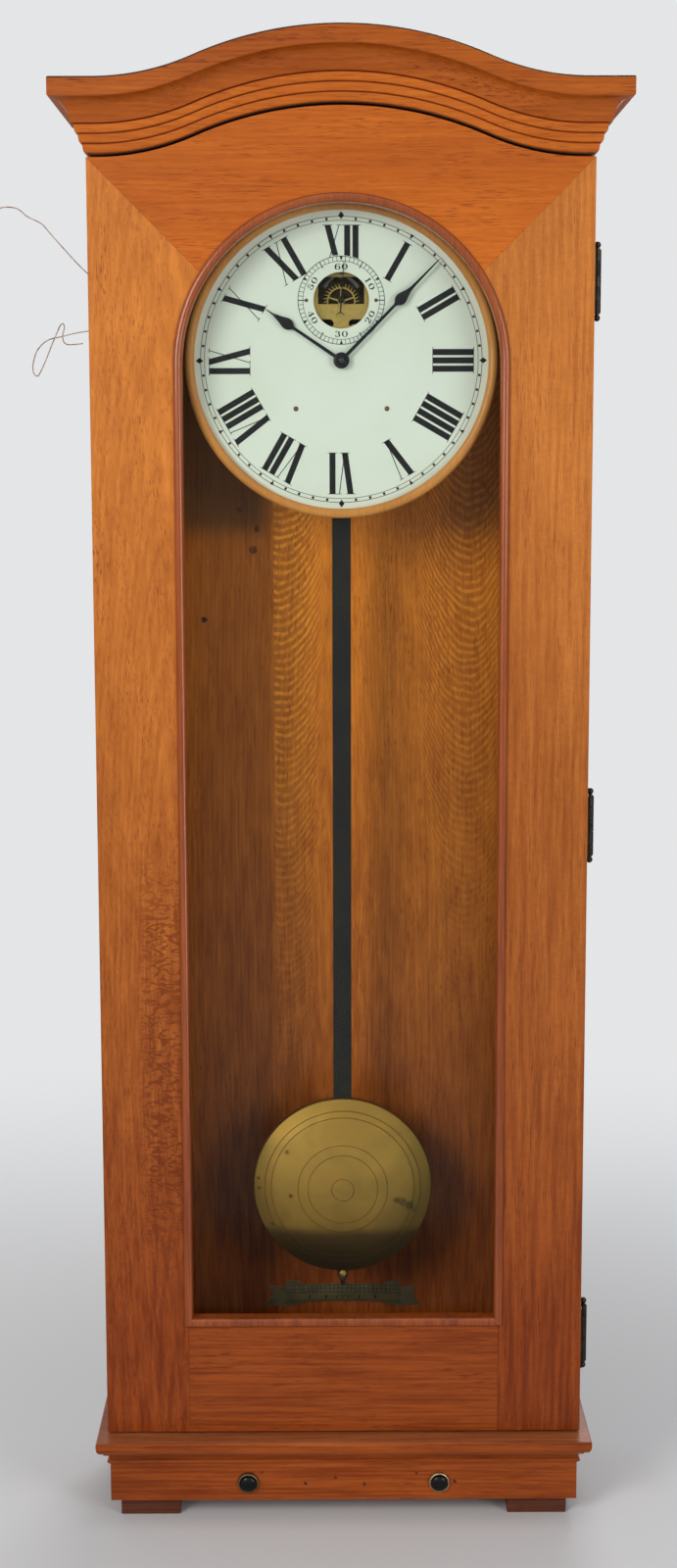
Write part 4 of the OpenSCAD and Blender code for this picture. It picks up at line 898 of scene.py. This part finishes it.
shape = bmesh.new()
for hour, letters in enumerate(["XII", "I", "II", "III", "IIII", "V", "VI", "VII", "VIII", "IX", "X", "XI"]):
    cut_plate(shape, stroke_outlines(numeral_strokes(letters), hour == 0), PRINT_Y, DIAL_Y,
              turn=-math.radians(30 * hour))
for minute in range(60):
    if minute % 15 == 0:
        mark = [(0, 143.2), (3.0, 147.2), (0, 151.2), (-3.0, 147.2)]
    elif minute % 5 == 0:
        mark = [(0, 141.6), (1.9, 147.0), (-1.9, 147.0)]
    else:
        mark = oblong(-1.2, 1.2, 142.7, 145.3)
    cut_plate(shape, [mark], PRINT_Y, DIAL_Y, turn=-math.radians(6 * minute))
for second in range(60):
    if second % 10 == 0:
        mark = [(-1.7, TRACK_R), (1.7, TRACK_R), (0, 39.9)]
    elif second % 5 == 0:
        mark = oblong(-0.5, 0.5, 37.5, TRACK_R)
    else:
        mark = oblong(-0.28, 0.28, 39.8, TRACK_R)
    cut_plate(shape, [mark], PRINT_Y, DIAL_Y, z=SECONDS_Z, turn=-math.radians(6 * second))
set_piece(faced(shape), "dial_print", "case", black_print, ["dial_numerals"])
for name, radius, wide, z in (("minute_ring_in", 142.0, 0.5, 0), ("minute_ring_out", 146.0, 0.6, 0),
                              ("seconds_ring_in", 39.7, 0.5, SECONDS_Z),
                              ("seconds_ring_out", 44.7, 0.7, SECONDS_Z)):
    ring = turned(oblong(radius - wide / 2, radius + wide / 2, PRINT_Y, DIAL_Y), 0, z, 180)
    set_piece(ring, name, "case", black_print)


def add_part(shape, part):
    """Joins a second bmesh to the first, and frees it."""
    mesh = bpy.data.meshes.new("part")
    part.to_mesh(mesh)
    part.free()
    shape.from_mesh(mesh)


def pen_stroke(shape, path):
    """One stroke of a pen as a flat strip along (x, y, half width) points."""
    for i, (x, y, half) in enumerate(path):
        x_in, y_in, _ = path[max(i - 1, 0)]
        x_out, y_out, _ = path[min(i + 1, len(path) - 1)]
        run = math.hypot(x_out - x_in, y_out - y_in)
        side = Vector((-(y_out - y_in), 0, x_out - x_in)) * (half / run)
        ends = [Vector((x, 0, y)) + side, Vector((x, 0, y)) - side]
        if i == 0:
            edge = shape.edges.new([shape.verts.new(spot) for spot in ends])
            continue
        before = list(edge.verts)
        made = bmesh.ops.extrude_edge_only(shape, edges=[edge])["geom"]
        edge = only(made, bmesh.types.BMEdge)[0]
        pairs = sorted(edge.verts, key=lambda v: (v.co - before[0].co).length)
        for vert, spot in zip(pairs, ends):
            vert.co = spot


def pen_arc(cx, cy, rx, ry, start, stop, thin=0.2, thick=0.8, count=20):
    """An arc of a pen that is broad on the upright parts and fine on the level ones."""
    return [(x, y, thin + (thick - thin) * abs((x - cx) / rx) ** 2)
            for x, y in arc(cx, cy, rx, ry, start, stop, count)]


DROP, FIGURE_R, FIGURE_HALF = 0.62, 34.2, 3.1
FIGURES = {
    "0": [pen_arc(3.1, 3.1, 2.3, 2.85, 0, 360, count=28)],
    "1": [[(3.1, 0, 0.75), (3.1, 6.2, 0.75)], [(1.5, 0.17, 0.17), (4.7, 0.17, 0.17)],
          [(1.5, 4.9, 0.16), (3.0, 6.0, 0.3)]],
    "2": [pen_arc(3.0, 4.35, 2.0, 1.65, 165, -35), [(4.6, 3.4, 0.75), (2.6, 1.9, 0.3), (0.9, 0.5, 0.25)],
          [(0.9, 0.55, 0.4), (3.2, 0.55, 0.6), (5.2, 0.5, 0.3), (5.5, 1.8, 0.15)]],
    "3": [pen_arc(2.9, 4.65, 1.75, 1.35, 150, -90), pen_arc(2.9, 1.8, 2.1, 1.6, 90, -150)],
    "4": [[(3.9, 6.1, 0.2), (0.5, 1.9, 0.2)], [(0.3, 1.75, 0.2), (5.7, 1.75, 0.2)],
          [(4.1, 0, 0.75), (4.1, 6.2, 0.75)], [(2.8, 0.17, 0.17), (5.4, 0.17, 0.17)]],
    "5": [[(1.3, 5.7, 0.45), (5.0, 5.8, 0.3)], [(1.4, 5.9, 0.18), (1.2, 3.0, 0.18)],
          pen_arc(2.9, 2.0, 2.2, 1.8, 140, -150)],
    "6": [pen_arc(3.1, 1.95, 2.2, 1.75, 0, 360, count=28), pen_arc(3.9, 3.1, 3.0, 2.9, 65, 185)],
}
DOTS = {"2": [(1.3, 4.6)], "3": [(1.4, 5.0), (1.2, 1.4)], "5": [(1.2, 1.5)], "6": [(4.9, 5.3)]}
shape = bmesh.new()
for figure in range(10, 61, 10):
    turn = math.radians(-6 * figure)
    if 15 < figure < 45:
        turn += math.pi
    mid = Vector((math.sin(math.radians(6 * figure)), math.cos(math.radians(6 * figure)))) * FIGURE_R
    for letter, left in zip(str(figure), (-6.9, 0.5)):
        word = bmesh.new()
        for path in FIGURES[letter]:
            pen_stroke(word, path)
        for x, y in DOTS.get(letter, ()):
            upright = Matrix.Translation((x, 0, y)) @ Matrix.Rotation(math.pi / 2, 4, "X")
            bmesh.ops.create_circle(word, cap_ends=True, segments=14, radius=DROP, matrix=upright)
        bmesh.ops.translate(word, vec=(left, 0, -FIGURE_HALF), verts=word.verts)
        bmesh.ops.rotate(word, cent=(0, 0, 0), matrix=Matrix.Rotation(-turn, 3, "Y"), verts=word.verts)
        bmesh.ops.scale(word, vec=(MM, MM, MM), verts=word.verts)
        bmesh.ops.translate(word, vec=over_dial(mid.x, PRINT_Y, SECONDS_Z + mid.y), verts=word.verts)
        thick = bmesh.ops.extrude_face_region(word, geom=word.faces[:])["geom"]
        bmesh.ops.translate(word, vec=(0, (DIAL_Y - PRINT_Y) * MM, 0),
                            verts=only(thick, bmesh.types.BMVert))
        add_part(shape, faced(word))
set_piece(shape, "seconds_figures", "case", black_print)

# Bezel: a turned ring of yellow-brown wood round the dial, rounded on its face, with a narrow
# dark gap between it and the plate.
bezel_wood = oak_finish("yellow-brown bezel wood", UPRIGHT, (0.60, 0.240, 0.048), (0.60, 0.240, 0.048),
                        pores=0.25, streaks=0.5, rings=0.03, coat=0.3)
bezel_profile = [(152.6, -144.9), (152.5, -152.5)] + arc(157.4, -152.5, 4.9, 4.5, 180, 360, 16) + \
    [(162.4, -141.0), (161.6, -140.4), (156.45, -140.4), (156.45, -144.9)]
set_piece(turned(bezel_profile, 0, 0, 160), "dial_bezel", "case", bezel_wood, ["bezel"])

# Dial screws: small browned brass screws with domed heads, two that hold the plate and two
# smaller ones that pin the seconds dial.
shape = bmesh.new()
for x in (-47.3, 47.3):
    head_profile = [(0, DIAL_Y - 1.2)] + arc(0, DIAL_Y, 2.6, 1.2, 270, 360, 6) + [(0, DIAL_Y)]
    add_part(shape, turned(head_profile, x, -49.3, 24))
old_brass = metal_finish("brown screw brass", (0.16, 0.10, 0.045), (0.06, 0.04, 0.025), 90, 0.7, 0.35, 0.5)
set_piece(shape, "dial_screw_heads", "case", old_brass, ["dial_screws"])
for x, name in ((-36, "seconds_pin_left"), (36, "seconds_pin_right")):
    pin_profile = [(0, DIAL_Y - 0.9)] + arc(0, DIAL_Y, 1.9, 0.9, 270, 360, 5) + [(0, DIAL_Y)]
    set_piece(turned(pin_profile, x, SECONDS_Z, 20), name, "case", old_brass)

# Hands: thin steel painted black. Each has a slim stem, a leaf with a rounded base and a long
# fine tip. A domed nut holds the minute hand, and the seconds hand has a crescent tail.
hand_black = metal_finish("black hand paint", (0.006, 0.006, 0.007), (0.014, 0.014, 0.015), 60, 0.5, 0.28,
                          0.45, 0)
HOURS, MINUTES, HAND_THICK = 10, 7.45, 1.0


def leaf_outline(leaf, length):
    """A leaf hand's outline, with its leaf's base at leaf."""
    widths = [(0, 1.9), (leaf - 9, 1.5), (leaf - 7.2, 1.7), (leaf - 6.2, 2.6), (leaf - 4.6, 4.1),
              (leaf - 2.4, 5.4), (leaf + 0.4, 5.9), (leaf + 3.2, 5.4), (leaf + 6.2, 4.3), (leaf + 9.5, 3.1),
              (leaf + 13, 2.2), (leaf + 17, 1.6), (leaf + (length - leaf) * 0.55, 1.15), (length - 6, 0.7),
              (length - 0.6, 0.45), (length, 0.15)]
    return widths + [(along, -half) for along, half in reversed(widths)]


for hand, angle, y, outline, boss in (
        ("minute", 90 - 6 * MINUTES, -151.7, leaf_outline(87, 144),
         [(0, -152.3), (5.0, -152.3), (7.6, -152.1), (8.3, -151.6), (8.3, -150.7), (0, -150.7)]),
        ("hour", 90 - 30 * (HOURS + MINUTES / 60), -149.2, leaf_outline(67, 94),
         [(0, -149.5), (7.8, -149.4), (8.3, -149.0), (8.3, -148.2), (0, -148.2)])):
    leaf = cut_plate(bmesh.new(), [outline], y, y + HAND_THICK, 0, 0, math.radians(angle))
    rounded(leaf, 0.22 * MM, 40, 1)
    shape = turned(boss, 0, 0, 40)
    add_part(shape, leaf)
    set_piece(faced(shape), hand + "_hand_leaf", hand, hand_black, [hand + "_hand"])
nut_black = metal_finish("blued hand nut", (0.05, 0.05, 0.055), (0.02, 0.02, 0.02), 120, 0.5, 0.25, 0.4)
nut_profile = [(0, -155.0)] + arc(0, -153.0, 3.6, 2.0, 270, 350, 6)
nut_profile += [(4.2, -152.9), (4.2, -151.7), (0, -151.7)]
set_piece(turned(nut_profile, 0, 0, 32), "hand_nut_dome", "minute", nut_black, ["hand_nut"])
blade = [(0, -0.85), (40, -0.22), (40, 0.22), (0, 0.85)]
tail = [(0, 0.75), (-12.6, 0.6), (-12.6, -0.6), (0, -0.75)]
crescent = arc(-16.6, 0, 4.4, 4.4, -72, 72, 14) + arc(-17.6, 0, 4.3, 4.3, 62, -62, 14)
shape = turned([(0, -147.9), (2.4, -147.8), (3.4, -147.2), (3.4, -146.4), (0, -146.4)], 0, SECONDS_Z, 32)
add_part(shape, cut_plate(bmesh.new(), [blade, tail, crescent], -147.2, -146.4, 0, SECONDS_Z,
                          math.radians(86)))
set_piece(faced(shape), "seconds_hand_blade", "escape", hand_black, ["seconds_hand"])

# Pendulum: a flat, blue-black painted rod and a turned brass bob with engraved rings, dull in
# patches, with a painted dark reflection across its foot and painted shade on its right side and
# top, and a small round nut below it.
rod_paint = metal_finish("blue-black rod paint", (0.006, 0.0065, 0.006), (0.013, 0.0105, 0.0075), 26, 0.8,
                         0.42, 0.6, 0)
shape = worked_copy("pendulum_rod")
rounded(shape, 0.6 * MM)
set_piece(shape, "pendulum_bar", "pendulum", rod_paint, ["pendulum_rod"], weigh=True)
BOB_R, BOB_HALF, PENDULUM_Y, BOB_Z = 99.2, 22.0, -92.0, -902.416
lens_r = (BOB_R ** 2 + (BOB_HALF - 5) ** 2) / (2 * (BOB_HALF - 5))


def bob_face(r):
    """How far the bob's face stands out from its middle plane at a radius."""
    return BOB_HALF - lens_r + math.sqrt(lens_r ** 2 - r ** 2)


face = [(r, bob_face(r)) for r in [BOB_R * i / 44 for i in range(44)]]
for share in (0.125, 0.39, 0.50, 0.80, 0.87):
    r = BOB_R * share
    face = [q for q in face if abs(q[0] - r) > 0.8]
    face += [(r - 0.5, bob_face(r)), (r - 0.2, bob_face(r) - 0.7), (r + 0.2, bob_face(r) - 0.7),
             (r + 0.5, bob_face(r))]
face = sorted(face)
rim = [(98.3, 5.35), (98.9, 4.8), (99.2, 4.0), (99.2, -4.0), (98.9, -4.8), (98.3, -5.35)]
back = [(r, -bob_face(r)) for r in [BOB_R * i / 12 for i in range(11, -1, -1)]]
bob_profile = [(r, PENDULUM_Y - h) for r, h in face + rim + back]
bob_brass, tree, shader, place = new_finish("aged brass bob with painted light")
layer = put(tree, "Group", {"Place": place, "Clean": (0.325, 0.190, 0.042, 1),
                            "Dull": (0.235, 0.146, 0.036, 1), "Patch Scale": 14, "Amount": 0.9,
                            "Shine": 0.42, "Dullness": 0.50}, node_tree=tarnish)
spot = axes_of(tree, place)
height_in = summed(tree, spot["Z"], product(tree, noise(tree, place, 12.0, 3.0), 0.02))
BOB_MIDDLE = DIAL_Z + BOB_Z * MM
# Painted reflection: a dark band across the bob's foot stands for the reflection of the dark rail below it.
painted_reflection_foot = mapped(tree, height_in, BOB_MIDDLE - 0.048, BOB_MIDDLE - 0.034, 0.9, 0, True)
patina_and_painted_light = mixed(tree, painted_reflection_foot, layer.outputs["Color"], (0.090, 0.054, 0.020))
# Painted shade: the right side of the bob is darker and cooler, as the light falls from the left.
painted_shade_right = mapped(tree, spot["X"], 0.030, 0.095, 0, 0.75, True)
patina_and_painted_light = mixed(tree, painted_shade_right, patina_and_painted_light, tinted(tree, patina_and_painted_light, (0.56, 0.62, 0.66)))
# Painted shade: the top of the bob is darker, to hold down the lamps' highlight there.
painted_shade_top = mapped(tree, spot["Z"], BOB_MIDDLE + 0.025, BOB_MIDDLE + 0.09, 0, 0.6, True)
patina_and_painted_light = mixed(tree, painted_shade_top, patina_and_painted_light, tinted(tree, patina_and_painted_light, (0.62, 0.60, 0.56)))
stains = [(-61.8, 41.0, 3.4), (-57.9, -8.9, 3.6), (60, -14, 5.0), (67, -17, 5.5), (74, -21, 7.0),
          (80, -27, 4.0), (-94, 9.8, 3.0), (-93, -2.3, 3.0), (-78, -43, 3.2)]
stained = marked(tree, place, patina_and_painted_light, (0.045, 0.034, 0.016), [
    (x, PENDULUM_Y - bob_face(math.hypot(x, z)), BOB_Z + z, radius) for x, z, radius in stains], 0.8)
surface(tree, shader, stained, layer.outputs["Roughness"], layer.outputs["Height"], 0.01, 0.1 * MM,
        Metallic=1.0)
set_piece(turned(bob_profile, 0, BOB_Z, 160), "pendulum_bob_lens", "pendulum_bob",
          bob_brass, ["bob"], sharp=20)


def upright_round(shape, x, y, low, high, radius, segments=32):
    """A cylinder on an upright axis between two heights, in millimetres over the dial."""
    bmesh.ops.create_cone(shape, cap_ends=True, segments=segments, radius1=radius * MM, radius2=radius * MM,
                          depth=(high - low) * MM,
                          matrix=Matrix.Translation(over_dial(x, y, (low + high) / 2)))


nut_top = BOB_Z - BOB_R - 0.3
shape = bmesh.new()
upright_round(shape, 0, PENDULUM_Y, nut_top - 8, nut_top - 1.5, 6, 28)
upright_round(shape, 0, PENDULUM_Y, nut_top - 11, nut_top, 4.2, 24)
rounded(shape, 0.5 * MM, 40)
set_piece(shape, "rating_nut_turned", "nut", brass, ["rating_nut"])

# Beat plate: a cast ribbon of dark bronze screwed to the back board, with rolled upper corners,
# tails folded behind it, and a scale of short lines for reading the pendulum's swing.
BEAT_Z, RIBBON_HALF = -1054, 66


def bowed(x, height):
    """The ribbon's long edges bow up a little towards the middle."""
    return height + 1.6 * (1 - (x / RIBBON_HALF) ** 2)


def beat_cut(outlines, out, thick):
    """Adds flat parts that stand out from the back board by so many millimetres."""
    cut_plate(shape, outlines, BACK_FACE - out, BACK_FACE - out + thick, 0, BEAT_Z)


shape = bmesh.new()
xs = [-RIBBON_HALF + 2 * RIBBON_HALF * i / 24 for i in range(25)]
low_edge = [(-RIBBON_HALF, -14.5), (-50, -15.5), (-45, -12.5)] + \
    [(x, bowed(x, -12.4)) for x in xs[5:20]] + [(45, -12.5), (50, -15.5), (RIBBON_HALF, -14.5)]
beat_cut([low_edge + [(x, bowed(x, 8.2)) for x in reversed(xs)]], 2, 1.4)
rounded(shape, 0.35 * MM, 40)
for side in (-1, 1):
    tail = [(60, -17.5), (90, -15.5), (80.5, -3.5), (85, 7.5), (60, 5.0)]
    beat_cut([[(side * u, v) for u, v in tail]], 1, 1)
    beat_cut([[(side * u, v) for u, v in arc(57, 8.6, 9.0, 5.0, 5, 175, 10)]], 2.4, 1.6)
beat_bronze = metal_finish("green-brown bronze", (0.130, 0.102, 0.040), (0.060, 0.048, 0.022), 45, 0.8, 0.45,
                           0.6, 0.4)
set_piece(faced(shape), "beat_ribbon", "case", beat_bronze, ["beat_plate"])
shape = bmesh.new()
for i in range(-11, 12):
    x, low, high = i * 5.0, bowed(i * 5.0, -1.4), bowed(i * 5.0, 7.2)
    beat_cut([oblong(x - 0.4, x + 0.4, low, high)], 2.15, 0.25)
for x in (-38, -19, 19, 38):
    beat_cut([[(x - 1.1, -8.0), (x + 1.1, -8.0), (x + 0.8, -3.4), (x - 0.8, -3.4)]], 2.2, 0.3)
for side in (-1, 1):
    curl = arc(3.6, -6.0, 3.6, 2.6, -60, 200, 14) + arc(3.6, -6.0, 2.6, 1.7, 200, -60, 14)
    beat_cut([[(side * u, v) for u, v in curl]], 2.2, 0.3)
for height in (-11.2, -1.2, 3.2, 7.8):
    beat_cut([[(x, bowed(x, height)) for x in xs] + [(x, bowed(x, height - 0.7)) for x in reversed(xs)]],
             2.1, 0.2)
scale_black = metal_finish("dark scale lines", (0.020, 0.018, 0.010), (0.035, 0.030, 0.018), 90, 0.8, 0.5,
                           0.7, 0)
set_piece(faced(shape), "beat_scale_lines", "case", scale_black)

# Hinges: three pairs of black-brown bronze leaves on the case's side and the door's edge, with
# five knuckles on a pin that ends in a collar and a ball above and below.
HINGE_X, HINGE_Y, KNUCKLE, PLAY, LEAF = 261.5, -170, 13.6, 0.3, 1.5
HINGE_HEIGHTS = (78, -485, -1046)
LEAF_HALF, STACK_HALF, SCREW_STEP = 33.8, 31.6, 23
PIN_HALF, COLLAR_AT, BALL_AT = 36, 32.3, 36.6


def block(shape, low, high):
    """A box between two corners of (x, y, z over the dial) millimetres."""
    low, high = over_dial(*low), over_dial(*high)
    bmesh.ops.create_cube(shape, size=1, matrix=Matrix.Translation((low + high) / 2) @
                          Matrix.Diagonal((*(high - low), 1)))


for node, body, turns, x, plate, strap in (
        ("case_hinge_leaves", "case", (0, 2, 4), 255, (-167.4, -140), (-167.4, -166)),
        ("door_hinge_leaves", "door", (1, 3), 257, (-188, -174.6), (-174.9, -171.9))):
    leaves = bmesh.new()
    for z in HINGE_HEIGHTS:
        block(leaves, (x, plate[0], z - LEAF_HALF), (x + LEAF, plate[1], z + LEAF_HALF))
        for i in turns:
            foot = z + (i - 2.5) * KNUCKLE
            low = max(foot + PLAY / 2, z - STACK_HALF)
            high = min(foot + KNUCKLE - PLAY / 2, z + STACK_HALF)
            block(leaves, (x, strap[0], low), (HINGE_X - 1, strap[1], high))
            upright_round(leaves, HINGE_X, HINGE_Y, low, high, 4)
    rounded(leaves, 0.25 * MM, 40, 1)
    for z in HINGE_HEIGHTS:
        for step in (-SCREW_STEP, 0, SCREW_STEP):
            middle = over_dial(x + LEAF - 0.2, sum(plate) / 2, z + step)
            bmesh.ops.create_cone(leaves, cap_ends=True, segments=28, radius1=3.3 * MM, radius2=2.2 * MM,
                                  depth=1.0 * MM,
                                  matrix=Matrix.Translation(middle) @ Matrix.Rotation(math.pi / 2, 4, "Y"))
    set_piece(leaves, node + "_made", body, bronze, [node])
pins = bmesh.new()
for z in HINGE_HEIGHTS:
    upright_round(pins, HINGE_X, HINGE_Y, z - PIN_HALF, z + PIN_HALF, 1.9)
    for end in (-1, 1):
        collar, ball = z + end * COLLAR_AT, over_dial(HINGE_X, HINGE_Y, z + end * BALL_AT)
        upright_round(pins, HINGE_X, HINGE_Y, collar - 0.6, collar + 0.6, 3.2)
        bmesh.ops.create_uvsphere(pins, u_segments=28, v_segments=16, radius=3.5 * MM,
                                  matrix=Matrix.Translation(ball))
set_piece(pins, "hinge_pins_turned", "case", bronze, ["hinge_pins"])

# Setting buttons: black moulded domes that press in through brass rims in the apron. The rims
# have turned green-brown.
pale_brass = metal_finish("pale worn brass", (0.62, 0.52, 0.33), (0.30, 0.23, 0.11), 150, 0.8, 0.3, 0.5)
rim_metal = metal_finish("green-brown rim", (0.24, 0.20, 0.11), (0.06, 0.075, 0.05), 180, 0.8, 0.3, 0.55)
BUTTON_X, BUTTON_Z = 104.5, -1209.7
for side, name in ((-1, "left"), (1, "right")):
    x = BUTTON_X * side
    rim_profile = [(7.7, APRON_FRONT), (7.7, -187.3), (9.0, -187.5), (9.3, -189.9), (9.9, -190.5),
                   (10.7, -190.2), (11.3, -189), (11.5, APRON_FRONT)]
    set_piece(turned(rim_profile, x, BUTTON_Z, 48), "button_rim_" + name, "case",
              rim_metal if side < 0 else pale_brass, ["button_rims"])
    dome = [(0, -194.6)] + arc(0, -191.2, 8.6, 3.4, 275, 360, 12) + \
        [(8.5, -190.2), (7.3, -190.0), (7.3, -188.4), (3.0, -188.4), (3.0, -165.7), (5.0, -165.7),
         (5.0, -163.7), (3.0, -163.7), (3.0, -160.0), (0, -160.0)]
    set_piece(turned(dome, x, BUTTON_Z, 40), "button_dome_" + name, name + "_push",
              bakelite, [name + "_button"])
